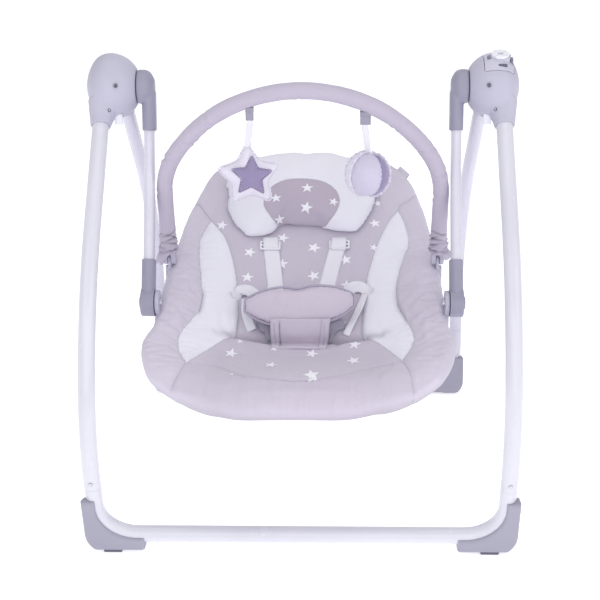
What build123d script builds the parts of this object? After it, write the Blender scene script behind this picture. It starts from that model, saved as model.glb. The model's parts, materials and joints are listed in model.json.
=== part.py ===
from build123d import *
import os
from math import sin, cos, tan, radians, degrees, sqrt, atan2, pi, hypot

# ---------------------------------------------------------------- driving dimensions (mm)
HUB_Z = 651.0            # height of the swing and fold axis above the floor
FOOT_R = 283.5           # hub axis to each cross tube, along Y
FOOT_Z = 26.7            # height of the cross tube centrelines
LEAN = 12.0              # lean of the straight lower leg
FRONT_X = 307.3          # front leg centreline from the middle plane
REAR_X = 280.6           # rear leg centreline from the middle plane
FRONT_D = 25.4           # front tube diameter
REAR_D = 22.2            # rear tube diameter
WALL = 1.2               # tube wall
BEND_R = 61.0            # corner bend of the U-shaped base tubes
JOINT_V = 95.0           # base tube length from the cross tube to the joint line
ARM_X = 237.5            # swing arm centreline
ARM_W, ARM_L = 16.0, 28.0    # flat-oval arm tube section
JY, JZ = -120.0, 340.0   # recline axis
SHELL_T = 2.5            # housing wall
SPLIT_X = 294.0          # housing parting plane
SHAFT_R = 5.0
RUN = 0.05               # running clearance, radial
FOLD = 42.0              # fold of the rear frame, degrees
BAR_Y, BAR_Z = -12.0, 374.0  # toy bar pivot line
BAR_LEAN = 12.5          # forward lean of the toy bar
BAR_X = 215.5

V3 = Vector


def deg(a):
    return radians(a)


def y_of(front, r):
    return -r if front else r


def tube(path, p0, d0, ro, ri):
    face = Plane(origin=p0, z_dir=d0) * (Circle(ro) - Circle(ri))
    return sweep(face, path=path)


def rod(p0, p1, r):
    a, b = V3(*p0), V3(*p1)
    d = b - a
    return Plane(origin=a, z_dir=d) * Cylinder(r, d.length, align=(Align.CENTER, Align.CENTER, Align.MIN))


def ring(p0, p1, ro, ri):
    return rod(p0, p1, ro) - rod(p0, p1, ri)


def mirror_x(s):
    return mirror(s, about=Plane.YZ)


def only(s):
    """One clean solid."""
    if isinstance(s, Solid):
        return s
    sol = s.solids()
    return sol[0] if len(sol) == 1 else Compound(children=list(sol))


def keep_big(s):
    sol = sorted(s.solids(), key=lambda q: q.volume, reverse=True)
    return sol[0]


# ---------------------------------------------------------------- legs
def leg_points(front):
    """Side profile of a leg from its lower joint to the hub: lines and arcs."""
    s12, c12 = sin(deg(LEAN)), cos(deg(LEAN))
    r, z = FOOT_R + JOINT_V * s12, FOOT_Z + JOINT_V * c12
    a0 = (r, z)
    a1 = (FOOT_R + (102.0 - FOOT_Z) * s12 / c12, 102.0)
    if a1[1] < a0[1] + 4:
        a1 = (FOOT_R + (JOINT_V + 6) * s12, FOOT_Z + (JOINT_V + 6) * c12)
    segs = [("line", a0, a1)]
    pts = a1
    phi = -LEAN
    k1 = (cos(deg(20)) - cos(deg(LEAN))) + (sin(deg(20)) + sin(deg(LEAN)))
    k2 = (cos(deg(45)) - cos(deg(20))) + (sin(deg(45)) - sin(deg(20)))
    R1 = 295.0
    R2 = (HUB_Z - a1[0] - a1[1] - R1 * k1) / k2
    for R, phi1 in ((R1, 20.0), (R2, 45.0)):
        def at(p, pm):
            return (p[0] + R * (cos(deg(pm)) - cos(deg(phi))), p[1] + R * (sin(deg(pm)) - sin(deg(phi))))
        mid, end = at(pts, (phi + phi1) / 2), at(pts, phi1)
        segs.append(("arc", pts, mid, end))
        pts, phi = end, phi1
    return segs, pts


def leg_path(front, x, s_end):
    segs, p = leg_points(front)
    edges = []
    P = lambda q: (x, y_of(front, q[0]), q[1])
    for s in segs:
        if s[0] == "line":
            edges.append(Edge.make_line(P(s[1]), P(s[2])))
        else:
            edges.append(Edge.make_three_point_arc(P(s[1]), P(s[2]), P(s[3])))
    k = s_end * sin(deg(45))
    q = (k, HUB_Z - k)
    edges.append(Edge.make_line(P(p), P(q)))
    return Wire(edges), P(segs[0][1]), V3(0, (-1 if front else 1) * sin(deg(LEAN)), cos(deg(LEAN)))


def base_point(front, x, v, n=0.0):
    """Point in the leaning plane of a base tube: v up the leg, n along its outward normal."""
    s12, c12 = sin(deg(LEAN)), cos(deg(LEAN))
    r = FOOT_R + v * s12 + n * c12
    z = FOOT_Z + v * c12 - n * s12
    return (x, y_of(front, r), z)


def base_plane(front):
    """x to +X, y up the leg."""
    yd = V3(0, (-1 if front else 1) * sin(deg(LEAN)), cos(deg(LEAN)))
    zd = V3(1, 0, 0).cross(yd)
    return Plane(origin=base_point(front, 0, 0), x_dir=(1, 0, 0), z_dir=zd)


def make_leg(front):
    x, d = (FRONT_X, FRONT_D) if front else (REAR_X, REAR_D)
    path, p0, d0 = leg_path(front, x, 24.0 if front else 27.0)
    return only(tube(path, p0, d0, d / 2, d / 2 - WALL))


def make_base(front):
    x, d = (FRONT_X, FRONT_D) if front else (REAR_X, REAR_D)
    v = JOINT_V - 0.3
    pts = [base_point(front, -x, v), base_point(front, -x, 0), base_point(front, x, 0), base_point(front, x, v)]
    path = FilletPolyline(*pts, radius=BEND_R)
    d0 = V3(*pts[1]) - V3(*pts[0])
    body = tube(path, pts[0], d0, d / 2, d / 2 - WALL)
    ro, ri = d / 2 - WALL - 0.04, d / 2 - 2 * WALL - 0.2
    for sx in (-x, x):
        lp, p0, d0 = leg_path(front, sx, 24.0)
        spig = tube(lp, p0, d0, ro, ri) & Pos(sx, 0, 0) * Box(60, 1200, 2 * (FOOT_Z + JOINT_V + 45))
        body += spig + ring(base_point(front, sx, v - 8), base_point(front, sx, v + 1), ro, ri)
        body += ring(base_point(front, sx, v - 8), base_point(front, sx, v - 0.5), d / 2 - 0.4, ri + 0.1)
    return keep_big(body)


def make_cover(front):
    """Corner shoe on the outer side of the bend, flat underneath."""
    x, d = (FRONT_X, FRONT_D) if front else (REAR_X, REAR_D)
    h = d / 2 + (4.6 if front else 3.2)           # half depth
    top = 76.0 if front else 42.0
    inx = 71.0 if front else 54.0                 # reach along the cross tube
    e = 5.8 if front else 4.0                     # wall outside the tube
    ro = x + d / 2 + e
    inn = 3.0                                     # inner edge beyond the centreline
    ri = BEND_R - inn
    cx, cv = x - BEND_R, BEND_R
    low = -(FOOT_Z - 5.0) - 8
    a_end = 0.0 if top > cv else -degrees(atan2(cv - top, sqrt(ri ** 2 - (cv - top) ** 2)))
    p_arc0 = (cx + ri * cos(deg(a_end)), cv + ri * sin(deg(a_end)))
    pm = (cx + ri * cos(deg((a_end - 90) / 2)), cv + ri * sin(deg((a_end - 90) / 2)))
    p_arc1 = (cx, cv - ri)
    edges = []
    if top > cv:
        edges.append(Edge.make_line((ro, top), (x - inn, top)))
        edges.append(Edge.make_line((x - inn, top), p_arc0))
    else:
        edges.append(Edge.make_line((ro, top), p_arc0))
    edges.append(Edge.make_three_point_arc(p_arc0, pm, p_arc1))
    xin = x - inx
    if xin < cx - 0.5:
        edges.append(Edge.make_line(p_arc1, (xin, p_arc1[1])))
        last = (xin, p_arc1[1])
    else:
        last = p_arc1
    edges.append(Edge.make_line(last, (last[0], low)))
    oc = 38.0 if front else 26.0
    edges.append(Edge.make_line((last[0], low), (ro - oc, low)))
    edges.append(Edge.make_three_point_arc((ro - oc, low), (ro - oc + oc * sin(deg(45)), low + oc - oc * cos(deg(45))), (ro, low + oc)))
    edges.append(Edge.make_line((ro, low + oc), (ro, top)))
    face = Face(Wire(edges))
    bp = base_plane(front)
    body = extrude(bp * face, amount=h, both=True)
    try:
        long_edges = [q for q in body.edges() if q.length > 5 and abs(abs(bp.to_local_coords(q.center()).Z) - h) < 0.2]
        body = fillet(long_edges, 5.0 if front else 3.6)
    except Exception as err:
        print("cover fillet skipped", err)
    body -= Pos(0, 0, -50 + 5.0) * Box(2000, 2000, 100)
    v = 130
    pts = [base_point(front, x - 200, 0), base_point(front, x, 0), base_point(front, x, v)]
    path = FilletPolyline(*pts, radius=BEND_R)
    void = sweep(Plane(origin=pts[0], z_dir=(1, 0, 0)) * Circle(d / 2 + 0.02), path=path)
    body -= void
    return keep_big(body)


def make_pad(front):
    x, d = (FRONT_X, FRONT_D) if front else (REAR_X, REAR_D)
    xa = 271.0 if front else 258.0
    xb = 299.0 if front else 284.0
    r = FOOT_R
    b = Box(xb - xa, 24 if front else 20, 5.0, align=(Align.CENTER, Align.CENTER, Align.MIN))
    b = Pos((xa + xb) / 2, y_of(front, r), 0) * b
    try:
        b = chamfer(b.edges().group_by(Axis.Z)[0], 1.2)
    except Exception:
        pass
    return b


# ---------------------------------------------------------------- housings
FACE_X, FACE_R = 255.5, 27.0     # flat face next to the swing arm
CROWN_X, CROWN_R = 296.0, 51.4   # widest section
END_X = 332.6                    # outermost point
CROWN_ARC = 30.0                 # first arc beyond the widest section


def dome(off):
    """Solid of revolution about the hub axis, made of tangent arcs, drawn in by off."""
    ra = ((CROWN_X - FACE_X) ** 2 + (CROWN_R - FACE_R) ** 2) / (2 * (CROWN_R - FACE_R))
    r1 = CROWN_ARC
    a, c1 = END_X - CROWN_X, CROWN_R - r1
    r2 = (a * a + c1 * c1 - r1 * r1) / (2 * (a - r1))
    c2x = END_X - r2
    tx, tr = CROWN_X - c2x, c1
    L = hypot(tx, tr)
    x0 = FACE_X + off
    ra_, r1_, r2_ = ra - off, r1 - off, r2 - off
    pa = (x0, CROWN_R - ra + sqrt(ra_ ** 2 - (CROWN_X - x0) ** 2))
    ang = (degrees(atan2(pa[1] - (CROWN_R - ra), pa[0] - CROWN_X)) + 90) / 2
    pm = (CROWN_X + ra_ * cos(deg(ang)), CROWN_R - ra + ra_ * sin(deg(ang)))
    pb = (CROWN_X, CROWN_R - off)
    at = degrees(atan2(tr, tx))
    am = (90 + at) / 2
    pc_m = (CROWN_X + r1_ * cos(deg(am)), c1 + r1_ * sin(deg(am)))
    pc = (c2x + r2_ * tx / L, r2_ * tr / L)
    pd_m = (c2x + r2_ * cos(deg(at / 2)), r2_ * sin(deg(at / 2)))
    pd = (c2x + r2_, 0.0)
    P = lambda q: V3(q[0], 0, q[1])
    w = Wire([Edge.make_line(P((x0, 0)), P(pa)), Edge.make_three_point_arc(P(pa), P(pm), P(pb)),
              Edge.make_three_point_arc(P(pb), P(pc_m), P(pc)), Edge.make_three_point_arc(P(pc), P(pd_m), P(pd)),
              Edge.make_line(P(pd), P((x0, 0)))])
    return Pos(0, 0, HUB_Z) * revolve(Face(w), axis=Axis.X, revolution_arc=360)


def leg_axis_pt(x, s, front=True):
    k = s * sin(deg(45))
    return (x, y_of(front, k), HUB_Z - k)


def slot_cut():
    """Sweep of the rear leg knuckle from open to folded."""
    # direction a degrees from straight down towards +Y; y across, z along (negative is outward)
    def pt(a, side, out):
        dy, dz = sin(deg(a)), -cos(deg(a))
        ny, nz = cos(deg(a)), sin(deg(a))
        return (0, dy * out + ny * side, HUB_Z + dz * out + nz * side)
    h = REAR_D / 2 + 1.5 + 1.6
    a0, a1 = 45 - FOLD, 45
    poly = [pt(a0, -h, 0), pt(a0, -h, 100), pt(24, 0, 130), pt(a1, h, 100), pt(a1, h, 0), pt(24, 0, -14)]
    f = Face(Wire.make_polygon(poly, close=True))
    s = extrude(f, amount=SPLIT_X - 266.6, dir=(1, 0, 0))
    return Pos(266.6, 0, 0) * s


PAD_TH = 14.0            # control pad's tilt towards the front
PAD_X = 300.5


def pad_plane(lift=0.0):
    n = V3(0, -sin(deg(PAD_TH)), cos(deg(PAD_TH)))
    rz = CROWN_R - 0.2
    c = V3(PAD_X, 0, HUB_Z) + n * (rz + lift)
    return Plane(origin=c, x_dir=(1, 0, 0), z_dir=n)


def top_region(x0, x1, t0, t1, rr=90.0):
    """Wedge over the top of a housing between two angles from vertical, positive to the front."""
    poly = [(0, 0, HUB_Z), (0, -rr * sin(deg(t0)), HUB_Z + rr * cos(deg(t0))),
            (0, -rr * 1.1 * sin(deg((t0 + t1) / 2)), HUB_Z + rr * 1.1 * cos(deg((t0 + t1) / 2))),
            (0, -rr * sin(deg(t1)), HUB_Z + rr * cos(deg(t1)))]
    return Pos(x0, 0, 0) * extrude(Face(Wire.make_polygon(poly, close=True)), amount=x1 - x0, dir=(1, 0, 0))


def surf_screws():
    """Screw axes on the front of a housing: position, inward direction."""
    return [((281.0, -52.0, HUB_Z + 12.0), (0.0, 1.0, 0.0)), ((299.5, -43.0, HUB_Z - 36.0), (0.0, 1.0, 0.12))]


def make_housing(right):
    out, inn = dome(0.0), dome(SHELL_T)
    shell = out - inn
    inner = shell & Pos(SPLIT_X - 100, 0, HUB_Z) * Box(200, 400, 400)
    outer = shell & Pos(SPLIT_X + 100, 0, HUB_Z) * Box(200, 400, 400)
    # front leg socket
    boss = rod(leg_axis_pt(FRONT_X, 18), leg_axis_pt(FRONT_X, 71), 15.6)
    halfx = Pos(SPLIT_X + 100, 0, HUB_Z) * Box(200, 400, 400)
    far = rod(leg_axis_pt(FRONT_X, 57), leg_axis_pt(FRONT_X, 90), 30)
    boss = (boss & halfx) + (boss & far)
    outer = outer + boss
    try:
        es = [e for e in outer.edges() if e.length > 12 and 40 < ((e.center() - V3(FRONT_X, 0, HUB_Z)).length) < 66 and (e.center().Y < -20) and e.center().X > SPLIT_X + 1 and e.center().Z < HUB_Z]
        f = fillet(es, 5.0)
        if f.is_valid:
            outer = f
    except Exception as err:
        print("boss fillet skipped", str(err)[:60])
    outer -= rod(leg_axis_pt(FRONT_X, 23.9), leg_axis_pt(FRONT_X, 90), FRONT_D / 2 + 0.03)
    inner -= rod(leg_axis_pt(FRONT_X, 20), leg_axis_pt(FRONT_X, 95), 16.0)
    # hub boss that carries the bush and the rear leg knuckle
    inner -= slot_cut()
    inner += ring((256.0, 0, HUB_Z), (SPLIT_X - 0.1, 0, HUB_Z), 13.0, 7.0)
    inner -= rod((250, 0, HUB_Z), (SPLIT_X + 5, 0, HUB_Z), 7.0)
    # opening of the fold release button
    inner -= Pos(283, -24.0, 600) * Box(12.6, 13.6, 40)
    if right:
        cut = top_region(275.8, 321.2, -22.2, 50.2)
        inner -= cut
        outer -= cut
        outer -= rod((302, 25, HUB_Z + 31), (302, 90, HUB_Z + 31), 5.95)     # supply inlet
        outer -= door_region(0.2)
    for p, d in surf_screws():
        pp = V3(*p)
        dd = V3(*d)
        rec = rod(tuple(pp - dd * 20), tuple(pp + dd * 5.2), 3.2) + rod(tuple(pp), tuple(pp + dd * 40), 1.45)
        inner -= rec
        outer -= rec
    return keep_big(inner), keep_big(outer)


def door_region(c):
    """Battery door on the back of the right housing."""
    return Pos(305.5, 60, HUB_Z - 14) * Box(18 + 2 * c, 80, 30 + 2 * c) 


def make_panel():
    p = (dome(0.0) - dome(3.2)) & top_region(276, 321, -22, 50)
    top = pad_plane()
    well = top * Pos(0, 0, -1.0) * Cylinder(14.2, 8, align=(Align.CENTER, Align.CENTER, Align.MIN))
    cups = top * Pos(0, 0, -6.5) * (Cylinder(16.0, 6.6, align=(Align.CENTER, Align.CENTER, Align.MIN)) )
    p = p + (cups & top_region(276, 321, -22, 50)) - well
    p = p - top * Pos(0, 0, -3.8) * Cylinder(14.2, 20, align=(Align.CENTER, Align.CENTER, Align.MIN))
    for sx in (-17.6, 17.2):
        p = p - side_well(sx)
    p = p - lens_shape(0.0, 20)
    return keep_big(p)


def side_well(sx):
    q = Plane(origin=pad_plane().origin, x_dir=(1, 0, 0), z_dir=pad_plane().z_dir)
    return q * Pos(sx, -4.0, -15) * Box(4.6, 9.0, 33, align=(Align.CENTER, Align.CENTER, Align.MIN))


def lens_plane():
    n = V3(0, -sin(deg(40)), cos(deg(40)))
    return Plane(origin=V3(302.5, 0, HUB_Z) + n * 51.0, x_dir=(1, 0, 0), z_dir=n)


def lens_shape(c, h):
    return lens_plane() * Pos(0, 0, -h / 2 - 1) * extrude(SlotOverall(14.0 - c, 4.6 - c), amount=h)


def make_quadrant(k):
    """One of four sectors of the round button pad, split by a cross-shaped gap."""
    R = 13.8
    g = 0.45
    disc = Cylinder(R, 6.2, align=(Align.CENTER, Align.CENTER, Align.MIN))
    s = disc & (Pos(g, g, -1) * Box(40, 40, 10, align=(Align.MIN, Align.MIN, Align.MIN)))
    s -= Cylinder(3.4, 20)
    try:
        s = fillet([e for e in s.edges() if abs(e.center().Z - 6.2) < 0.01], 1.2)
    except Exception:
        pass
    s = Rot(0, 0, 90 * k + 45) * s
    return only(pad_plane() * Pos(0, 0, -2.4 + 0.2) * s)


def make_side_button(i):
    sx = (-17.6, 17.2)[i]
    h = 6.0 if i == 0 else 3.6
    b = Box(4.1, 8.5, 9.0, align=(Align.CENTER, Align.CENTER, Align.MIN))
    try:
        b = fillet(b.edges().filter_by(Axis.Z), 1.2)
        b = fillet(b.faces().sort_by(Axis.Z)[-1].edges(), 0.8)
    except Exception:
        pass
    return only(pad_plane() * Pos(sx, -4.0, (-8.4 if i == 0 else -11.6)) * b)


def make_knuckle():
    disc = rod((268.2, 0, HUB_Z), (292.9, 0, HUB_Z), 22.0)
    sock = rod(leg_axis_pt(REAR_X, 5, False), leg_axis_pt(REAR_X, 66, False), REAR_D / 2 + 1.4)
    s = disc + sock
    try:
        s = fillet([e for e in s.edges() if 8 < e.length < 60 and 268.5 < e.center().X < 292.5 and e.center().Y > 10 and (V3(0, e.center().Y, e.center().Z - HUB_Z)).length < 32], 3.0)
    except Exception as err:
        print("knuckle fillet skipped", str(err)[:50])
    s -= rod(leg_axis_pt(REAR_X, 26.9, False), leg_axis_pt(REAR_X, 80, False), REAR_D / 2 + 0.02)
    s -= rod((260, 0, HUB_Z), (300, 0, HUB_Z), 13.0 + RUN)
    return keep_big(s)


# ---------------------------------------------------------------- swing arms
def arm_frame():
    """Arm centreline: straight, arc, straight; angles from straight down towards the front."""
    a0, a1, R = 13.0, 25.0, 600.0
    t = R * tan(deg((a1 - a0) / 2))
    # intersection of the two straight lines
    s0, c0, s1, c1 = sin(deg(a0)), cos(deg(a0)), sin(deg(a1)), cos(deg(a1))
    den = s0 * c1 - c0 * s1
    H = HUB_Z - JZ
    s = (-JY * c1 - H * s1) / den
    tt = (s0 * H - c0 * (-JY)) / den
    ix, iz = -s * s0, HUB_Z - s * c0
    return a0, a1, s, abs(tt), t, (ix, iz)


def arm_pt(s):
    """Point and direction at distance s along the arm from the hub."""
    a0, a1, sa, sb, t, (iy, iz) = arm_frame()
    R = 600.0
    if s <= sa - t:
        return (-s * sin(deg(a0)), HUB_Z - s * cos(deg(a0))), a0
    L = R * deg(a1 - a0)
    y0, z0 = -(sa - t) * sin(deg(a0)), HUB_Z - (sa - t) * cos(deg(a0))
    if s <= sa - t + L:
        a = a0 + degrees((s - sa + t) / R)
        return (y0 - R * (cos(deg(a0)) - cos(deg(a))), z0 - R * (sin(deg(a)) - sin(deg(a0)))), a
    y1, z1 = y0 - R * (cos(deg(a0)) - cos(deg(a1))), z0 - R * (sin(deg(a1)) - sin(deg(a0)))
    q = s - (sa - t + L)
    return (y1 - q * sin(deg(a1)), z1 - q * cos(deg(a1))), a1


def arm_length():
    a0, a1, sa, sb, t, _ = arm_frame()
    return (sa - t) + 600.0 * deg(a1 - a0) + (sb - t)


def arm_plane(s):
    (y, z), a = arm_pt(s)
    return Plane(origin=(ARM_X, y, z), x_dir=(1, 0, 0), z_dir=(0, -sin(deg(a)), -cos(deg(a))))


def slot_face(w, l):
    """Flat-oval face, w across and l front to back."""
    return Rot(0, 0, 90) * SlotOverall(l, w)


def arm_sweep(s0, s1, w, l, wi=0, li=0):
    a0, a1, sa, sb, t, _ = arm_frame()
    L = 600.0 * deg(a1 - a0)
    k0, k1 = sa - t, sa - t + L
    P = lambda s: (ARM_X, arm_pt(s)[0][0], arm_pt(s)[0][1])
    edges = []
    if s0 < k0:
        e = min(k0, s1)
        edges.append(Edge.make_line(P(s0), P(e)))
    if s0 < k1 and s1 > k0:
        b, e = max(s0, k0), min(s1, k1)
        edges.append(Edge.make_three_point_arc(P(b), P((b + e) / 2), P(e)))
    if s1 > k1:
        edges.append(Edge.make_line(P(max(s0, k1)), P(s1)))
    f = slot_face(w, l)
    if wi:
        f = f - slot_face(wi, li)
    return sweep(arm_plane(s0) * f, path=Wire(edges))


def make_arm_tube():
    s1 = arm_length() - 22
    return only(arm_sweep(46.0, s1, ARM_W, ARM_L, ARM_W - 2 * WALL, ARM_L - 2 * WALL))


def make_arm_hub():
    """Elbow: round boss against the housing, domed inner side and a sleeve over the arm tube."""
    prof = [(254.6, 0), (254.6, 25.5), (251.0, 26.2), (243.0, 26.0), (236.0, 23.0), (230.5, 15.0), (228.3, 0)]
    pts = [V3(x, 0, r) for x, r in prof]
    sp = Edge.make_spline([pts[2], pts[3], pts[4], pts[5], pts[6]], tangents=[V3(-1, 0, 0), V3(0, 0, -1)])
    w = Wire([Edge.make_line(pts[0], pts[1]), Edge.make_line(pts[1], pts[2]), sp, Edge.make_line(pts[6], pts[0])])
    boss = Pos(0, 0, HUB_Z) * revolve(Face(w), axis=Axis.X, revolution_arc=360)
    sleeve = arm_sweep(8.0, 68.0, 21.0, 33.5)
    body = boss + sleeve
    try:
        es = [e for e in body.edges() if e.length > 8 and 12 < (V3(0, e.center().Y, e.center().Z - HUB_Z)).length < 34]
        f = fillet(es, 3.0)
        body = f if f.is_valid else body
    except Exception as err:
        print("hub fillet skipped", str(err)[:50])
    body -= arm_sweep(45.9, 80.0, ARM_W + 0.1, ARM_L + 0.1)
    body -= rod((234, 0, HUB_Z), (260, 0, HUB_Z), SHAFT_R)
    return keep_big(body)


def make_arm_joint():
    """Lower sleeve and round recline joint."""
    L = arm_length()
    s = arm_sweep(L - 66.0, L, 20.6, 33.0)
    s += rod((227.4, JY, JZ), (248.4, JY, JZ), 22.0)
    try:
        es = [e for e in s.edges() if e.length > 15 and abs(e.center().X - 248.4) < 0.5]
        s = fillet(es, 3.0)
    except Exception as err:
        print("joint fillet skipped", str(err)[:50])
    s -= arm_sweep(L - 70.0, L - 21.9, ARM_W + 0.1, ARM_L + 0.1)
    s -= rod((220, JY, JZ), (236, JY, JZ), 4.0)              # bolt
    s -= rod((241.1, JY, JZ), (260, JY, JZ), 10.3)           # release button well
    s -= arm_plane(L - 60) * Pos(-10.6, 0, 0) * Rot(0, 90, 0) * Cylinder(2.6, 5)
    return keep_big(s)


# ---------------------------------------------------------------- seat surface
# rows from the top of the backrest to the front: centre Y, Z; half width; rim Y, Z; thickness
ROWS = [
    (238.0, 478.0, 116.0, 234.0, 474.0, 16.0),
    (216.0, 467.0, 158.0, 212.0, 458.0, 20.0),
    (176.0, 445.0, 184.0, 176.0, 438.0, 24.0),
    (100.0, 398.0, 202.0, 104.0, 402.0, 24.0),
    (22.0, 350.0, 210.5, 28.0, 373.0, 24.0),
    (-48.0, 306.0, 212.0, -44.0, 349.0, 24.0),
    (-108.0, 276.0, 217.0, -112.0, 327.0, 24.0),
    (-136.0, 270.0, 218.5, -146.0, 316.0, 24.0),
    (-172.0, 268.0, 235.0, -186.0, 302.0, 26.0),
    (-228.0, 279.0, 232.0, -236.0, 285.0, 30.0),
    (-280.0, 292.0, 210.0, -280.0, 270.0, 34.0),
    (-318.0, 292.0, 180.0, -314.0, 260.0, 34.0),
    (-342.0, 272.0, 150.0, -332.0, 252.0, 20.0),
]


def row_at(v):
    """Catmull-Rom along the rows."""
    n = len(ROWS)
    v = max(0.0, min(n - 1.0, v))
    i = min(int(v), n - 2)
    t = v - i
    p0, p1, p2, p3 = ROWS[max(i - 1, 0)], ROWS[i], ROWS[i + 1], ROWS[min(i + 2, n - 1)]
    out = []
    for a, b, c, d in zip(p0, p1, p2, p3):
        out.append(0.5 * ((2 * b) + (c - a) * t + (2 * a - 5 * b + 4 * c - d) * t * t + (3 * b - a - 3 * c + d) * t ** 3))
    return out


def seat_pt(v, u, off=0.0):
    """Seat surface: v along the rows, u across from -1 to 1, off out of the surface."""
    def raw(v, u):
        yc, zc, w, yr, zr, th = row_at(v)
        k = abs(u) ** 2.2
        return V3(w * u, yc + (yr - yc) * k, zc + (zr - zc) * k)
    p = raw(v, u)
    if off == 0:
        return p
    e = 0.08
    a = raw(min(v + e, len(ROWS) - 1), u) - raw(max(v - e, 0), u)
    b = raw(v, u + e) - raw(v, u - e)
    n = b.cross(a)
    n = n * (1 / n.length)
    if n.Z < 0:
        n = n * -1
    return p + n * off


def seat_xy(x, y, off=0.0):
    """Seat surface above a plan position."""
    lo, hi = 0.0, len(ROWS) - 1.0
    u = 0.0
    for _ in range(4):
        a, b = lo, hi
        for _ in range(30):
            m = (a + b) / 2
            if seat_pt(m, u).Y > y:
                a = m
            else:
                b = m
        v = (a + b) / 2
        u = x / row_at(v)[2]
    return seat_pt(v, u, off)


def closed_grid(top, bot):
    """Closed polyhedron between two grids of the same size."""
    nr, nc = len(top), len(top[0])
    faces = []

    def tri(a, b, c):
        if (b - a).cross(c - a).length < 1e-3:
            return
        faces.append(Face(Wire.make_polygon([a, b, c], close=True)))

    def quad(a, b, c, d):
        tri(a, b, c)
        tri(a, c, d)
    for i in range(nr - 1):
        for j in range(nc - 1):
            quad(top[i][j], top[i + 1][j], top[i + 1][j + 1], top[i][j + 1])
            quad(bot[i][j], bot[i][j + 1], bot[i + 1][j + 1], bot[i + 1][j])
    for i in range(nr - 1):
        quad(top[i][0], bot[i][0], bot[i + 1][0], top[i + 1][0])
        quad(top[i][-1], top[i + 1][-1], bot[i + 1][-1], bot[i][-1])
    for j in range(nc - 1):
        quad(top[0][j], top[0][j + 1], bot[0][j + 1], bot[0][j])
        quad(top[-1][j], bot[-1][j], bot[-1][j + 1], top[-1][j + 1])
    s = Solid(Shell(faces))
    return s


def ribbon(points, width_dir, w, t):
    """Flat strap through points, each (position, normal)."""
    top, bot = [], []
    for p, n in points:
        wd = width_dir
        wd = wd - n * wd.dot(n)
        wd = wd * (1 / wd.length)
        top.append([p - wd * (w / 2) + n * (t / 2), p + wd * (w / 2) + n * (t / 2)])
        bot.append([p - wd * (w / 2) - n * (t / 2), p + wd * (w / 2) - n * (t / 2)])
    return closed_grid(top, bot)


def edge_t(v, u):
    return row_at(v)[5] * (1 - 0.45 * abs(u) ** 3)


def make_cover_pad():
    us = [-1, -0.94, -0.84, -0.7, -0.5, -0.25, 0, 0.25, 0.5, 0.7, 0.84, 0.94, 1]
    vs = [0, 0.5, 1, 1.5, 2, 3, 4, 5, 5.5, 6, 6.5, 7, 7.5, 8, 8.5, 9.2, 10, 10.6, 11.2, 11.6, 12]
    top = [[seat_pt(v, u) for u in us] for v in vs]
    bot = [[seat_pt(v, u, -edge_t(v, u)) for u in us] for v in vs]
    return closed_grid(top, bot)


def seat_clear(gap=0.5):
    """Room the seat cover takes up, with a gap under and beside it: trims what stands below."""
    us = [-1.006, -0.94, -0.84, -0.7, -0.5, -0.25, 0, 0.25, 0.5, 0.7, 0.84, 0.94, 1.006]
    vs = [2, 3, 4, 4.25, 4.5, 4.75, 5, 5.25, 5.5, 5.75, 6, 6.25, 6.5, 6.75, 7, 7.25, 7.5, 7.75, 8, 8.5, 9.2]
    top = [[seat_pt(v, u, 12.0) for u in us] for v in vs]
    bot = [[seat_pt(v, u, -(edge_t(v, u) + gap)) for u in us] for v in vs]
    return closed_grid(top, bot)


def tube_pt(v, sx, drop=9.0, u=0.93):
    return seat_pt(v, sx * u, -(edge_t(v, u) + drop))


def make_pillow():
    n, m = 9, 11
    top, bot = [], []
    for i in range(n):
        a = -1 + 2 * i / (n - 1)                      # top to bottom of the pillow
        y = 153.0 - 79.0 * a
        w = 138.0 * (max(0.0, 1 - abs(a) ** 2.6)) ** 0.42 if abs(a) < 1 else 62.0
        w = max(w, 62.0)
        t, b = [], []
        for j in range(m):
            c = -1 + 2 * j / (m - 1)
            edge = max(0.0, 1 - abs(c) ** 3.0) * max(0.0, 1 - abs(a) ** 3.0)
            p = seat_xy(w * c - 3.0, y, 0)
            q = seat_xy(w * c - 3.0, y, 10.0)
            nn = (q - p) * 0.1
            t.append(p + nn * (9.0 + 26.0 * edge ** 0.5))
            b.append(p + nn * 2.5)
        top.append(t)
        bot.append(b)
    return closed_grid(top, bot)


def surf_frame(x, y, off):
    p, q = seat_xy(x, y, 0.0), seat_xy(x, y, 10.0)
    n = (q - p) * 0.1
    return p + n * off, n


def make_shoulder(sx):
    pts = []
    for k in range(7):
        t = k / 6
        x = sx * (58.0 - 10.0 * t)
        pts.append(surf_frame(x, 62.0 - 72.0 * t, 2.8))
    p, n = pts[-1]
    n2 = V3(0, -0.35, 0.937)
    pts.append((V3(sx * 46.0, -42.0, 327.0), n2))
    pts.append((V3(sx * 45.0, -66.0, 334.5), n2))
    return ribbon(pts, V3(1, 0, 0), 25.0, 2.2)


def make_adjuster(sx):
    p, n = surf_frame(sx * 57.0, 50.0, 8.2)
    pl = Plane(origin=p, x_dir=(1, 0, 0), z_dir=n)
    b = Box(31, 15, 5.5)
    b -= Box(25.6, 3.4, 9).moved(Location((0, 3.6, 0)))
    b -= Box(25.6, 3.4, 9).moved(Location((0, -3.6, 0)))
    return only(pl * b)


PAD_TOP = (-82.0, 353.0)
PAD_BOT = (-116.0, 308.0)


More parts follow.
